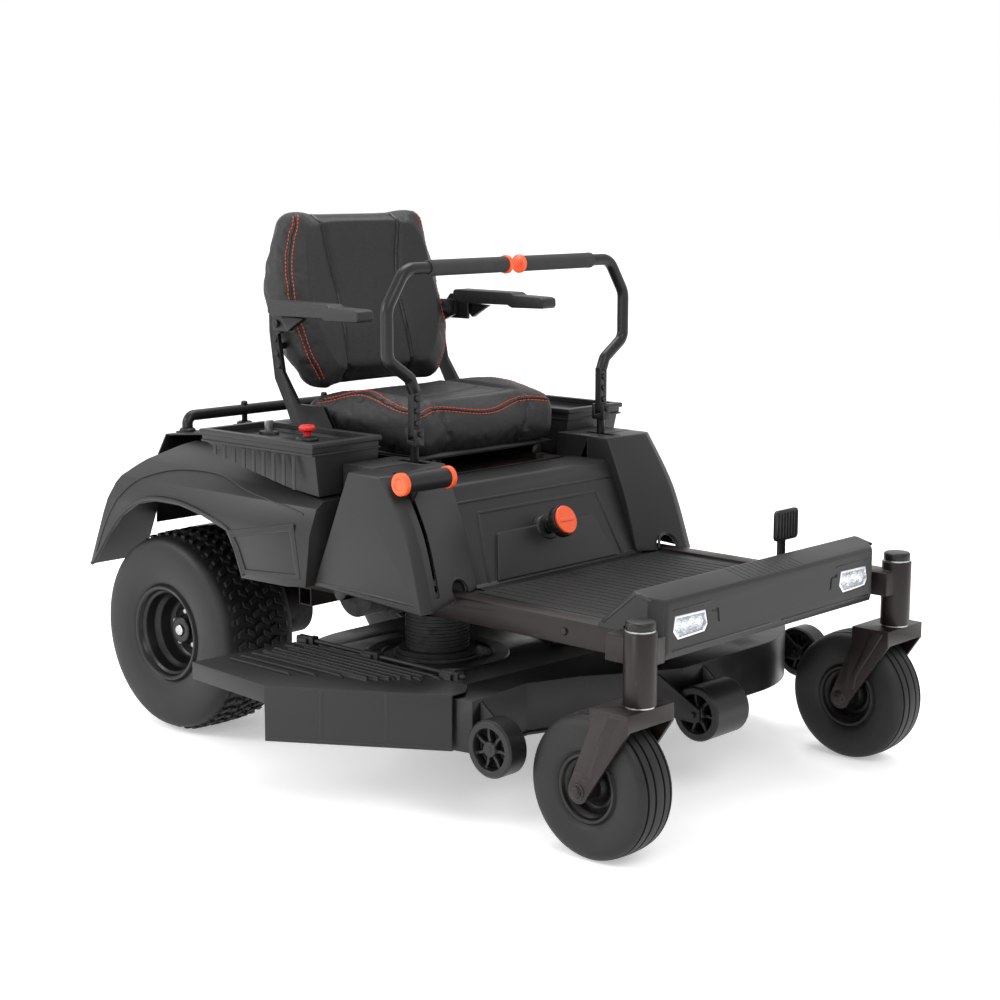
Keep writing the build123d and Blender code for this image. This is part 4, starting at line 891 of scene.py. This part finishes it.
class MOWER_OT_trays(bpy.types.Operator):
    """The side trays with rolled rims, fluted sides and their fittings"""

    bl_idname = "mower.trays"
    bl_label = "Side trays"

    def execute(self, context):
        for name, side in SIDES:
            shell = bevelled(copied("tray_" + name), 1.6, 2, 30)
            loop = [(300, 313), (497, 313), (497, 681), (300, 681)]
            rim = slab(loop, "z", 700, 711, 2.4, 3)
            rim = cut(rim, box(317, 480, 330, 664, 690, 720))
            step = cut(slab([(303, 316), (494.5, 316), (494.5, 678), (303, 678)], "z", 684, 688, 1.2, 2),
                       box(312, 486, 324, 670, 680, 695))
            flutes = []
            for k in range(9):
                y = 372 + 32 * k
                foot = 600 + (y - 372) * 0.19 + 10
                flutes.append(box(490.5, 493, y, y + 10, foot, 680, 1.0, 2))
            finished("tray_" + name + "_moulding", shell, "body", "chassis", ("tray_" + name,), 34)
            finished("tray_" + name + "_rim", sided(joined(rim, step, *flutes), side), "body", "chassis")
        cup = turned([(0, 42), (0, 46), (-2, 47.5), (-7, 47.5), (-7, 42)], "z", (372, 378, 695), 56)
        finished("cup_ring", cup, "body_gloss", "chassis")
        switch, lock = (-372, 470, 710), (-360, 610, 710)
        base = turned([(-18.4, 0), (-18.4, 25), (-14, 25), (-10, 21), (-10, 10), (-8, 9), (-8, 0)], "z", switch, 48)
        base = cut(base, rod(-30, 0, 8.6, "z", switch, 24))
        finished("switch_base", base, "hard_black", "chassis")
        oval = turned([(-18.4, 0), (-18.4, 18), (-12, 17), (-11, 15), (-11, 0)], "z", (0, 0, 710), 48)
        bmesh.ops.scale(oval, vec=(1, 1.5, 1), verts=oval.verts[:])
        moved(oval, Matrix.Translation((-360, 610, 0)))
        oval = cut(oval, rod(-40, 0, 6.6, "z", lock, 24))
        finished("key_switch", oval, "hard_black", "chassis")
        head = turned([(-24, 0), (-24, 8), (0, 8), (2, 12), (3, 17.5), (6, 18.4), (10, 17.6), (14, 14), (15.6, 0)], "z",
                      (-372, 470, 711), 40)
        finished("pto_knob_mushroom", head, "red", "pto_knob", ("pto_knob",), 30)
        bow = bevelled(copied("key"), 0.5, 2, 25)
        finished("key_cut", bow, "steel", "key", ("key",))
        return {"FINISHED"}


# ---- the deck ----
class MOWER_OT_deck(bpy.types.Operator):
    """The cutting deck with a pressed top, and the discharge chute with its ribs and lip"""

    bl_idname = "mower.deck"
    bl_label = "Cutting deck"

    def execute(self, context):
        softened("deck_shell", "deck", 1.6, 34, "deck_shell_pressing")
        ridges = []
        for x, y in BLADES:
            ridges.append(turned([(254, 118), (258, 121), (258, 150), (254, 153)], "z", (x, y, 0), 72))
            bolt = stud(259, 265, 266, 7, 5.5, "z", (x, y + 78, 0), 6)
            ridges.append(repeated(bolt, 6, "z", (x, y, 0)))
        rim = [(x, y, 151) for x, y in ((-100, -186), (-129, -205), (-203, -157), (-316, -115), (-486, -129))]
        ridges.append(tube(rim, 4.0))
        ridges.append(slab([(-40, 60), (-20, 46), (28, 150), (8, 164)], "z", 252, 259, 2.0, 2))
        finished("deck_ridges", joined(*ridges), "deck", "deck")
        motors = []
        for x, y in BLADES:
            for k in range(9):
                z = 276 + 7.5 * k
                motors.append(collar(z, z + 3.5, 64, 68, "z", (x, y, 0), 48))
        finished("blade_motor_fins", joined(*motors), "casing", "deck")
        softened("discharge_chute", "chute", 1.0, 30, "discharge_chute_flap")
        extras = []
        front, far = Vector((-509, -92)), Vector((-710, 225))
        along = (far - front).normalized()
        out = Vector((-along.y, along.x))
        for share in (0.33, 0.68):
            a = front + (far - front) * share
            b = a + along * 9
            face = [tuple(a + out * 0.2), tuple(b + out * 0.2), tuple(b - out * 2.2), tuple(a - out * 2.2)]
            extras.append(slab(face, "z", 160, 262, 0.8, 2))
        for z0, z1 in ((157, 160), (258, 262)):
            a, b = front + along * 2, far - along * 3
            face = [tuple(a + out * 0.4), tuple(b + out * 0.4), tuple(b - out * 2), tuple(a - out * 2)]
            extras.append(slab(face, "z", z0, z1, 0.8, 2))
        for k in range(7):
            x = -444 - 30 * k
            low = -20 + 44 * k if x < -470 else 0
            extras.append(slab([(low, 263.5), (low + 8, 270), (430, 270), (438, 263.5)], "x", x - 4, x + 4, 1.2, 2))
        finished("discharge_chute_ribs", joined(*extras), "chute", "chute")
        for node in ("blade_left", "blade_right"):
            softened(node, "steel", 0.6)
        return {"FINISHED"}


# ---- the frame and hardware ----
class MOWER_OT_frame(bpy.types.Operator):
    """The rails, beam, brackets and power parts, with their edges taken off, and the visible bolts"""

    bl_idname = "mower.frame"
    bl_label = "Frame and hardware"

    def execute(self, context):
        soft = {
            "front_beam": ("paint", "frame_paint", 1.6), "sleeve_caps": ("hard_black", "body_plastic", 1.5),
            "frame_rails": ("paint", "frame_paint", 1.4), "floor_pan": ("deck", "deck_paint", 0.5),
            "hitch_plate": ("paint", "frame_paint", 1.0), "rear_hood": ("body", "body_plastic", 0.8),
            "rear_bar": ("deck", "deck_paint", 0.4), "battery_pack": ("body_gloss", "battery_case", 5.0),
            "seat_pan": ("deck", "deck_paint", 1.2), "brake_pedal": ("deck", "deck_paint", 1.2),
            "lift_lever": ("deck", "deck_paint", 0.8), "lap_base_left": ("deck", "deck_paint", 0.8),
            "lap_base_right": ("deck", "deck_paint", 0.8), "lap_bar_left": ("deck", "deck_paint", 0.5),
            "lap_bar_right": ("deck", "deck_paint", 0.5),
        }
        for node, (material, slot, width) in soft.items():
            softened(node, material, width, 40)
        bare = {"rear_rails": "paint", "cross_members": "paint", "sleeve_bushes": "steel", "seat_support": "paint",
                "lap_brackets": "paint", "drive_motors": "casing", "blade_motors": "casing"}
        for node, material in bare.items():
            for slot in frame["nodes"][node].material_slots:
                slot.material = MATERIALS[material]
        mat = box(-292, 292, -326, 44, 409.4, 411.4, 0.9, 2)
        channels = [box(x - 3, x + 3, -312, 30, 410.4, 413) for x in range(-264, 265, 24)]
        finished("floor_mat", cut(mat, *channels), "mat", "chassis")
        bolts = []
        for side in (-1, 1):
            for y, z in ((-370, 390), (-250, 390), (200, 390), (470, 390)):
                head = stud(0, 5, 6.5, 8, 6, "x", (0, 0, 0), 6)
                bolts.append(moved(sided(head, side), Matrix.Translation((side * 359.5, y, z))))
            for x in (side * 282, side * 300):
                pin = stud(0, 4, 5, 6, 4.5, "y", (0, 0, 0), 6)
                bolts.append(moved(moved(pin, Matrix.Rotation(math.pi, 4, "Z")),
                                   Matrix.Translation((x, -455, 398))))
        finished("frame_bolts", joined(*bolts), "hard_black", "chassis")
        pads = []
        for x in (-300, -128, 128, 300):
            pads.append(turned([(659, 0), (659, 19), (664, 19), (667, 16), (667, 13)], "z", (x, BAR_Y, 0), 36))
        for x in (-128, 128):
            pads.append(stud(704, 713, 716, 8, 5, "z", (x, BAR_Y, 0), 24))
        finished("rear_bar_feet", joined(*pads), "hard_black", "chassis")
        louvre = [(1043, 470), (1049.5, 472), (1042.8, 568), (1037, 570)]
        vents = [slab(louvre, "x", x - 4, x + 4, 1.6, 2) for x in range(-200, 201, 20)]
        finished("rear_hood_grille", joined(*vents), "body_gloss", "chassis")
        tread = [box(160 + 10 * k, 164 + 10 * k, -382.5, -378.5, 514, 566, 1.0, 2) for k in range(7)]
        finished("brake_pedal_ribs", joined(*tread), "foam", "brake_pedal")
        return {"FINISHED"}


class MOWER_OT_controls(bpy.types.Operator):
    """Foam sleeves and round caps on the lap bars, the lift lever's cross grip and the height knob"""

    bl_idname = "mower.controls"
    bl_label = "Controls"

    def execute(self, context):
        for name, side in SIDES:
            end = 258
            sleeve = turned([(26, 13.1), (26, 15.5), (28, 17), (end - 2, 17), (end, 15.5), (end, 13.1)], "x",
                            (0, LAP_Y, LAP_TOP_Z), 40)
            rings = [turned([(x, 16.6), (x + 2, 17.4), (x + 5, 17.4), (x + 7, 16.6)], "x", (0, LAP_Y, LAP_TOP_Z), 40)
                     for x in (30, end - 12)]
            finished("lap_grip_" + name + "_sleeve", sided(joined(sleeve, *rings), side), "foam", "lap_bar_" + name,
                     ("lap_grip_" + name,), 30)
            cap = turned([(14, 0), (14, 13), (15.5, 18), (18, 20), (24, 20), (26, 18.5), (26, 0)], "x",
                         (0, LAP_Y, LAP_TOP_Z), 48)
            finished("lap_cap_" + name, sided(cap, side), "orange", "lap_bar_" + name, (), 30)
            heads = []
            for k in range(3):
                for out in (-1, 1):
                    head = stud(8, 11, 12.5, 7, 5, "y", (0, 0, 0), 6)
                    if out < 0:
                        moved(head, Matrix.Rotation(math.pi, 4, "Z"))
                    heads.append(moved(head, Matrix.Translation((LAP_X, LAP_Y, 744 + 26 * k))))
            finished("lap_bolts_" + name, sided(joined(*heads), side), "hard_black", "lap_bar_" + name)
        half = 72.5
        middle = (-410, 77, 652)
        grip = rod(-half + 12, half - 12, 20, "x", middle, 48)
        finished("lift_grip_sleeve", cut(grip, copied("lift_lever")), "hard_black", "lift",
                 ("lift_grip",), 30)
        caps = []
        for out in (-1, 1):
            cap = turned([(half - 14, 0), (half - 14, 21.5), (half - 12.5, 23), (half - 3, 23), (half, 19), (half, 13),
                          (half - 2, 11), (half - 2, 0)], "x", (0, 0, 0), 48)
            caps.append(moved(sided(cap, out), Matrix.Translation(middle)))
        finished("lift_grip_caps", joined(*caps), "orange", "lift", (), 30)
        to_knob = knee_place(95, 0) @ Matrix.Rotation(math.radians(90), 4, "X")
        stem = turned([(-15, 0), (-15, 9), (8, 9), (8, 17), (16, 17), (17, 14), (17, 9), (39, 9), (39, 0)], "z",
                      (0, 0, 0), 40)
        ring = turned([(39, 0), (39, 30), (42, 34.5), (48, 35), (54, 35), (58, 33), (58, 26), (39, 26)], "z",
                      (0, 0, 0), 64)
        notch = rod(36, 62, 3.2, "z", (36.5, 0, 0), 16)
        ring = cut(ring, repeated(notch, 12, "z", (0, 0, 0)))
        finished("height_knob_grip", moved(joined(stem, ring), to_knob), "hard_black", "height_knob",
                 ("height_knob",), 30)
        disc = turned([(40, 0), (40, 26.5), (60, 30), (62.5, 31), (64.5, 29.5), (65, 0)], "z", (0, 0, 0), 64)
        rib = box(-22, 22, -4.5, 4.5, 62, 66, 1.8, 2)
        finished("height_knob_disc", moved(joined(disc, rib), to_knob), "orange", "height_knob", (), 30)
        return {"FINISHED"}


# ---- the seat ----
def hump(value, middle, spread):
    """1 at the middle, falling to nothing on both sides of it."""
    return math.exp(-((value - middle) / spread) ** 2)


def puffed(piece, voxel, pressure, cap):
    """Swells a closed pad with air in a cloth simulation, and keeps each point near its start."""
    scene = bpy.context.scene
    remesh = piece.modifiers.new("remesh", "REMESH")
    remesh.mode = "VOXEL"
    remesh.voxel_size = voxel
    replace_mesh(piece)
    cloth = piece.modifiers.new("cloth", "CLOTH")
    cloth.settings.use_pressure = True
    cloth.settings.uniform_pressure_force = pressure
    cloth.settings.quality = 4
    cloth.settings.mass = 0.35
    cloth.settings.effector_weights.gravity = 0
    cloth.point_cache.frame_start = 1
    cloth.point_cache.frame_end = 20
    start = np.array([v.co for v in piece.data.vertices], float)
    for step in range(1, 21):
        scene.frame_set(step)
    swollen = piece.evaluated_get(bpy.context.evaluated_depsgraph_get()).to_mesh()
    end = np.array([v.co for v in swollen.vertices], float)
    piece.modifiers.remove(cloth)
    scene.frame_set(1)
    move = end - start
    move -= move.mean(0)
    length = np.linalg.norm(move, axis=1, keepdims=True)
    move *= np.minimum(1.0, cap / np.maximum(length, 1e-9))
    piece.data.vertices.foreach_set("co", (start + move).astype(np.float32).ravel())
    piece.data.update()


def replace_mesh(piece):
    """Applies the piece's modifiers."""
    evaluated = piece.evaluated_get(bpy.context.evaluated_depsgraph_get())
    old = piece.data
    piece.data = bpy.data.meshes.new_from_object(evaluated)
    piece.modifiers.clear()
    name = old.name
    bpy.data.meshes.remove(old)
    piece.data.name = name
    piece.data.shade_smooth()


def pressed(piece, press):
    """Moves each point of a pad as press says, from its place in the shaping frame."""
    for v in piece.data.vertices:
        place = FROM_FRAME @ v.co
        v.co = TO_FRAME @ (place + Vector(press(place)))
    piece.data.update()


def on_surface(piece, points, ray, out):
    """Points dropped onto a pad along a ray and lifted by out, in the shaping frame."""
    tree = BVHTree.FromObject(piece, bpy.context.evaluated_depsgraph_get())
    ray = Vector(ray)
    found = []
    for point in points:
        start = TO_FRAME @ (Vector(point) - ray * 300)
        hit, normal, _, _ = tree.ray_cast(start, ray)
        if hit is not None:
            found.append(tuple((FROM_FRAME @ hit) + normal * out))
    return found


def stitches(line, radius, pitch=9.0, length=6.2):
    """Short thread stitches along a line, each a small rounded bar."""
    shapes = []
    gone, target = 0.0, 0.0
    for a, b in zip(line, line[1:]):
        a, b = Vector(a), Vector(b)
        run = (b - a).length
        while target < gone + run and run > 1e-6:
            place = a + (b - a) * ((target - gone) / run)
            bar = bmesh.new()
            bmesh.ops.create_cone(bar, cap_ends=True, segments=6, radius1=radius, radius2=radius, depth=length)
            bmesh.ops.scale(bar, vec=(0.7, 0.7, 1), verts=bar.verts[:])
            long_edges = [e for e in bar.edges if abs(e.verts[0].co.z - e.verts[1].co.z) > 1]
            bmesh.ops.subdivide_edges(bar, edges=long_edges, cuts=2)
            belly = [v for v in bar.verts if abs(v.co.z) < length / 2 - 0.5]
            bmesh.ops.scale(bar, vec=(1.4, 1.4, 1), verts=belly)
            turn = (b - a).to_track_quat("Z", "Y").to_matrix().to_4x4()
            shapes.append(moved(bar, Matrix.Translation(place) @ turn))
            target += pitch
        gone += run
    return joined(*shapes)


class MOWER_OT_seat_cushion(bpy.types.Operator):
    """The seat cushion: side bolsters, a dished middle, a welt and double stitching"""

    bl_idname = "mower.seat_cushion"
    bl_label = "Seat cushion"

    HALF = (236, 192, 48)
    MIDDLE = (466, 707)
    FRONT_RISE = 8
    PANEL_HALF = 150

    def execute(self, context):
        sizes = context.scene.mower_sizes
        half_x, half_y, half_z = self.HALF
        bm = rounded_block(30, self.HALF, 34)
        for v in bm.verts:
            x, y, z = v.co
            up = (z + half_z) / (2 * half_z)
            side = min(1.0, abs(x) / half_x)
            bolster = 40 * max(0.0, (side - 0.55) / 0.45) ** 1.3 * hump(y, -10, 150)
            dish = -12 * (1 - side ** 2) * hump(y, 0, 130)
            front = -14 * max(0.0, (-y - 120) / 72) ** 2
            v.co.z = self.MIDDLE[1] + z + up * (bolster + dish + front)
            v.co.x = x * (1 - 0.07 * max(0.0, (-y - 80) / 112) ** 2 - 0.05 * max(0.0, (y - 100) / 92) ** 2)
            v.co.y = self.MIDDLE[0] + y - 5 * math.cos(x / half_x * math.pi * 1.5) * max(0.0, -y / half_y)
        piece = finished("seat_cushion_pad", bm, "vinyl", "seat", ("seat_cushion",), 180)
        puffed(piece, sizes.voxel, 4.0, 0.016)

        def press(place):
            front = hump(abs(place.x), self.PANEL_HALF + (place.y - 300) * 0.06, 5)
            cross = hump(place.y, 372, 5) + hump(place.y, 470, 5) if abs(place.x) < self.PANEL_HALF else 0
            return 0, 0, -6 * min(1.0, front + cross) * (1 if place.z > 730 else 0)

        pressed(piece, press)
        smooth = piece.modifiers.new("smooth", "SUBSURF")
        smooth.levels = smooth.render_levels = 1
        self.sew(piece, sizes.stitch_radius)
        return {"FINISHED"}

    def sew(self, piece, radius):
        """The welt along the front and sides, and two rows of stitches on each bolster."""
        threads, welts = [], []

        def wave(level, xs):
            edge = 232
            return [(x, 250, level - self.FRONT_RISE * math.cos(x / edge * math.pi * 1.5) - 6 * (abs(x) / edge) ** 4)
                    for x in xs]

        def flank(side, level):
            return [(side * 300, y, level + 34 * hump(y, 460, 110)) for y in range(318, 600, 5)]

        for level in (740, 748):
            line = on_surface(piece, wave(level, range(-205, 206, 5)), (0, 1, 0), 0.4)
            threads.append(stitches(line, radius))
        welts.append(tube(on_surface(piece, wave(744, range(-208, 209, 4)), (0, 1, 0), 0.6), 2.0))
        for side in (-1, 1):
            welts.append(tube(on_surface(piece, flank(side, 746), (-side, 0, 0), 0.6), 2.0))
            for level in (742, 750):
                threads.append(stitches(on_surface(piece, flank(side, level), (-side, 0, 0), 0.4), radius))
        finished("seat_cushion_thread", joined(*threads), "thread", "seat", (), 60)
        finished("seat_cushion_welt", joined(*welts), "vinyl_gloss", "seat", (), 60)


class MOWER_OT_seat_back(bpy.types.Operator):
    """The seat back: a waisted pad with a middle panel, black bands and stitched sides"""

    bl_idname = "mower.seat_back"
    bl_label = "Seat back"

    HALF = (205, 34, 203)
    HEIGHT = 972
    SHELL_HALF = (165, 9, 165)
    SHELL_HEIGHT = 968
    HALF_WIDTHS = ((770, 188), (800, 206), (850, 234), (900, 247), (960, 250), (1010, 249), (1060, 241), (1110, 227),
                   (1150, 214), (1178, 198))
    MIDDLE = ((770, 668), (830, 684), (900, 703), (985, 727), (1060, 736), (1110, 738), (1178, 737))
    HALF_DEPTHS = ((770, 32), (830, 46), (900, 53), (985, 55), (1060, 45), (1110, 37), (1178, 24))

    def along(self, table, z):
        """A value read off a table of heights."""
        return float(np.interp(z, [a for a, _ in table], [b for _, b in table]))

    def execute(self, context):
        sizes = context.scene.mower_sizes
        bm = rounded_block(34, self.HALF, 24)
        for v in bm.verts:
            x, y, z = v.co
            height = self.HEIGHT + z
            share = x / self.HALF[0]
            half = self.along(self.HALF_WIDTHS, height) - 5
            wrap = -44 * max(0.0, abs(share) - 0.4) ** 1.3 * (1 if y < 0 else 0.3)
            hollow = 9 * (1 - share ** 2) * hump(height, 1010, 110) * (1 if y < 0 else 0)
            deep = self.along(self.HALF_DEPTHS, height) / self.HALF[1]
            v.co = (share * half, self.along(self.MIDDLE, height) + y * deep + wrap + hollow, height)
        piece = finished("seat_back_pad", bm, "vinyl", "seat", ("seat_back",), 180)
        puffed(piece, sizes.voxel, 4.0, 0.013)

        def press(place):
            band = hump(abs(place.x), self.band(place.z), 9)
            edge = hump(abs(place.x), self.seam(place.z), 4)
            front = 1 if place.y < self.along(self.MIDDLE, place.z) - 5 else 0
            return 0, (8 * band + 3 * edge) * front, 0

        pressed(piece, press)
        smooth = piece.modifiers.new("smooth", "SUBSURF")
        smooth.levels = smooth.render_levels = 1
        self.sew(piece, sizes.stitch_radius)
        return {"FINISHED"}

    def seam(self, z):
        """How far from the middle the outer seam is."""
        return self.along(self.HALF_WIDTHS, z) - 19

    def band(self, z):
        """How far from the middle the black band beside the middle panel is."""
        return 94 + max(0.0, z - 985) * 0.17 + max(0.0, 985 - z) * 0.04

    def sew(self, piece, radius):
        """The piping and stitches of the sides, the black bands and the moulded shell behind the pad."""
        threads, welts = [], []
        for side in (-1, 1):
            for off in (-5, 4):
                points = [(side * (self.seam(z) + off), 400, z) for z in range(800, 1162, 5)]
                threads.append(stitches(on_surface(piece, points, (0, 1, 0), 0.4), radius))
            points = [(side * self.seam(z), 400, z) for z in range(795, 1166, 5)]
            welts.append(tube(on_surface(piece, points, (0, 1, 0), 0.0), 2.2))
            points = [(side * self.band(z), 400, z) for z in range(795, 1166, 5)]
            welts.append(tube(on_surface(piece, points, (0, 1, 0), -2.4), 6.5))
        shell = rounded_block(16, self.SHELL_HALF, 8)
        for v in shell.verts:
            x, y, z = v.co
            height = self.SHELL_HEIGHT + z
            share = x / self.SHELL_HALF[0]
            half = self.along(self.HALF_WIDTHS, height) - 34
            deep = self.along(self.HALF_DEPTHS, height)
            v.co = (share * half, self.along(self.MIDDLE, height) + deep - 1 + y - 10 * share ** 2, height)
        finished("seat_back_thread", joined(*threads), "thread", "seat", (), 60)
        finished("seat_back_welt", joined(*welts), "vinyl_gloss", "seat", (), 60)
        finished("seat_back_shell", shell, "body", "seat", (), 40)


class MOWER_OT_armrests(bpy.types.Operator):
    """Armrests with a stepped front, a padded top and a bolted bracket"""

    bl_idname = "mower.armrests"
    bl_label = "Armrests"

    def execute(self, context):
        for name, side in SIDES:
            shape = [(368, 950), (372, 944), (470, 942), (482, 948), (650, 946), (661, 952), (661, 974), (655, 979),
                     (470, 978), (460, 972), (378, 970), (369, 966)]
            pad = slab(shape, "x", 268, 316, 5.0, 4, 12)
            finished("armrest_" + name + "_pad", sided(pad, side), "vinyl_fine", "armrest_" + name,
                     ("armrest_" + name,), 40)
            plate = slab([(612, 909), (688, 909), (688, 950), (672, 968), (612, 968)], "x", 270, 278, 1.5, 2)
            pin = turned([(247.2, 0), (247.2, 5), (280, 5), (280, 9), (285, 9), (286, 7), (286, 0)], "x",
                         (0, 672, 925), 24)
            stay = slab([(600, 920), (612, 912), (640, 941), (628, 946), (560, 943)], "x", 284, 300, 2.0, 2)
            bolts = []
            for y in (628, 655):
                bolts.append(stud(278, 282, 283, 6, 4.5, "x", (0, y, 936), 6))
            finished("armrest_" + name + "_bracket", sided(joined(plate, pin, stay, *bolts), side), "deck",
                     "armrest_" + name, (), 30)
        holes = []
        for side in (-1, 1):
            for y, z in ((700, 830), (706, 858), (710, 890), (712, 944)):
                disc = stud(263.6, 265.6, 266.6, 6.5, 5, "x", (0, 0, 0), 24)
                holes.append(moved(sided(disc, side), Matrix.Translation((0, y - 14, z))))
        finished("seat_bar_studs", joined(*holes), "hard_black", "seat")
        return {"FINISHED"}


# ---- materials and stage ----
class MOWER_OT_materials(bpy.types.Operator):
    """Every finish of the mower"""

    bl_idname = "mower.materials"
    bl_label = "Materials"

    def execute(self, context):
        colours = context.scene.mower_colours
        body = tuple(colours.body)
        paint = tuple(colours.paint)
        accent = tuple(colours.accent)

        def shade(colour, share):
            return tuple(c * share for c in colour)

        moulded("body", shade(body, 0.8), shade(body, 1.2), 0.42)
        moulded("body_gloss", shade(body, 0.55), shade(body, 0.8), 0.3, 900.0, 0.00006, 0.4, 0.2)
        moulded("hard_black", shade(body, 0.4), shade(body, 0.7), 0.36, 500.0, 0.0001, 0.5)
        moulded("chute", shade(body, 0.6), shade(body, 0.95), 0.5, 420.0, 0.0002, 0.7)
        coated("paint", shade(paint, 0.8), shade(paint, 1.5), 0.36)
        coated("deck", shade(body, 0.45), shade(body, 0.85), 0.34)
        coated("rim", shade(body, 0.35), shade(body, 0.7), 0.3)
        tyre_rubber("tyre")
        vinyl("vinyl", (0.008, 0.008, 0.0083), (0.017, 0.017, 0.0175))
        vinyl("vinyl_fine", (0.01, 0.01, 0.0105), (0.022, 0.022, 0.023))
        moulded("vinyl_gloss", (0.006, 0.006, 0.006), (0.012, 0.012, 0.012), 0.28, 400.0, 0.0001, 0.3)
        foam("foam")
        coated("mat", (0.006, 0.006, 0.006), (0.012, 0.0118, 0.0115), 0.55, 0.0, 0.1)
        metal("steel", (0.2, 0.2, 0.205), (0.5, 0.5, 0.51), 0.3, (300, 20, 300))
        metal("silver", (0.5, 0.5, 0.52), (0.8, 0.8, 0.82), 0.14, (60, 60, 300))
        metal("casing", (0.02, 0.02, 0.02), (0.05, 0.05, 0.052), 0.5, (80, 80, 80))
        bright("orange", accent, shade(accent, 0.72))
        bright("red", (0.7, 0.008, 0.008), (0.45, 0.004, 0.004))
        woven_thread("thread", shade(accent, 0.8), shade(accent, 0.4))
        lamp_materials()
        return {"FINISHED"}


class MOWER_OT_stage(bpy.types.Operator):
    """A pale floor, soft lights and the camera"""

    bl_idname = "mower.stage"
    bl_label = "Stage"

    def execute(self, context):
        scene = context.scene
        floor = bpy.data.meshes.new("floor")
        bm = bmesh.new()
        bmesh.ops.create_grid(bm, x_segments=1, y_segments=1, size=30)
        bm.to_mesh(floor)
        bm.free()
        plane = bpy.data.objects.new("floor", floor)
        scene.collection.objects.link(plane)
        pale = Recipe("pale_floor")
        pale.set(Base_Color=pale.mix(pale.noise(0.6, 2.0), (0.93, 0.93, 0.93), (0.96, 0.96, 0.96)), Roughness=0.85,
                 Emission_Color=(1, 1, 1, 1), Emission_Strength=0.35)
        floor.materials.append(pale.material)
        world = bpy.data.worlds.new("soft_sky")
        scene.world = world
        world.use_nodes = True
        sky = world.node_tree.nodes["Background"]
        sky.inputs["Color"].default_value = (1, 1, 1, 1)
        sky.inputs["Strength"].default_value = 1.0
        for name, place, power, size in (("key", (-1.6, -3.6, 3.6), 60, 2.0), ("top", (0.6, 0.8, 4.2), 90, 2.0),
                                         ("rear", (-3.6, 2.6, 2.6), 90, 1.6), ("low", (-4.0, -0.4, 0.9), 25, 1.2)):
            data = bpy.data.lights.new(name, "AREA")
            data.energy = power
            data.size = size
            lamp = bpy.data.objects.new(name, data)
            lamp.location = place
            lamp.rotation_mode = "QUATERNION"
            lamp.rotation_quaternion = (Vector((0, 0, 0.5)) - lamp.location).to_track_quat("-Z", "Y")
            scene.collection.objects.link(lamp)
        camera = bpy.data.objects.new("camera", bpy.data.cameras.new("camera"))
        camera.data.sensor_width = 36
        camera.data.lens = context.scene.mower_colours.lens
        camera.location = Vector((-3.04688, -2.58229, 1.25168)) + SHIFT
        target = Vector((0, 0.254, 0.5415)) + SHIFT
        camera.rotation_mode = "QUATERNION"
        camera.rotation_quaternion = (target - camera.location).to_track_quat("-Z", "Y")
        scene.collection.objects.link(camera)
        scene.camera = camera
        scene.view_settings.view_transform = "Standard"
        return {"FINISHED"}


class MOWER_PT_panel(bpy.types.Panel):
    """Lists the mower's pieces"""

    bl_idname = "MOWER_PT_panel"
    bl_label = "Zero turn mower"
    bl_space_type = "VIEW_3D"
    bl_region_type = "UI"
    bl_category = "Mower"

    def draw(self, context):
        for group in (context.scene.mower_colours, context.scene.mower_sizes):
            for name in group.__annotations__:
                self.layout.prop(group, name)
        for maker in MAKERS:
            self.layout.operator(maker.bl_idname)


MAKERS = (MOWER_OT_materials, MOWER_OT_rear_tyres, MOWER_OT_rear_rims, MOWER_OT_casters, MOWER_OT_rollers,
          MOWER_OT_footrest_cover, MOWER_OT_headlights, MOWER_OT_knee_panel, MOWER_OT_towers, MOWER_OT_fenders,
          MOWER_OT_trays, MOWER_OT_deck, MOWER_OT_frame, MOWER_OT_controls, MOWER_OT_seat_cushion,
          MOWER_OT_seat_back, MOWER_OT_armrests, MOWER_OT_stage)
CLASSES = (MowerColours, MowerSizes, *MAKERS, MOWER_PT_panel)


def register():
    for item in CLASSES:
        bpy.utils.register_class(item)
    bpy.types.Scene.mower_colours = bpy.props.PointerProperty(type=MowerColours)
    bpy.types.Scene.mower_sizes = bpy.props.PointerProperty(type=MowerSizes)


def unregister():
    del bpy.types.Scene.mower_sizes
    del bpy.types.Scene.mower_colours
    for item in reversed(CLASSES):
        bpy.utils.unregister_class(item)


def main():
    register()
    for maker in MAKERS:
        group, operator = maker.bl_idname.split(".")
        getattr(getattr(bpy.ops, group), operator)()


if __name__ == "__main__":
    main()
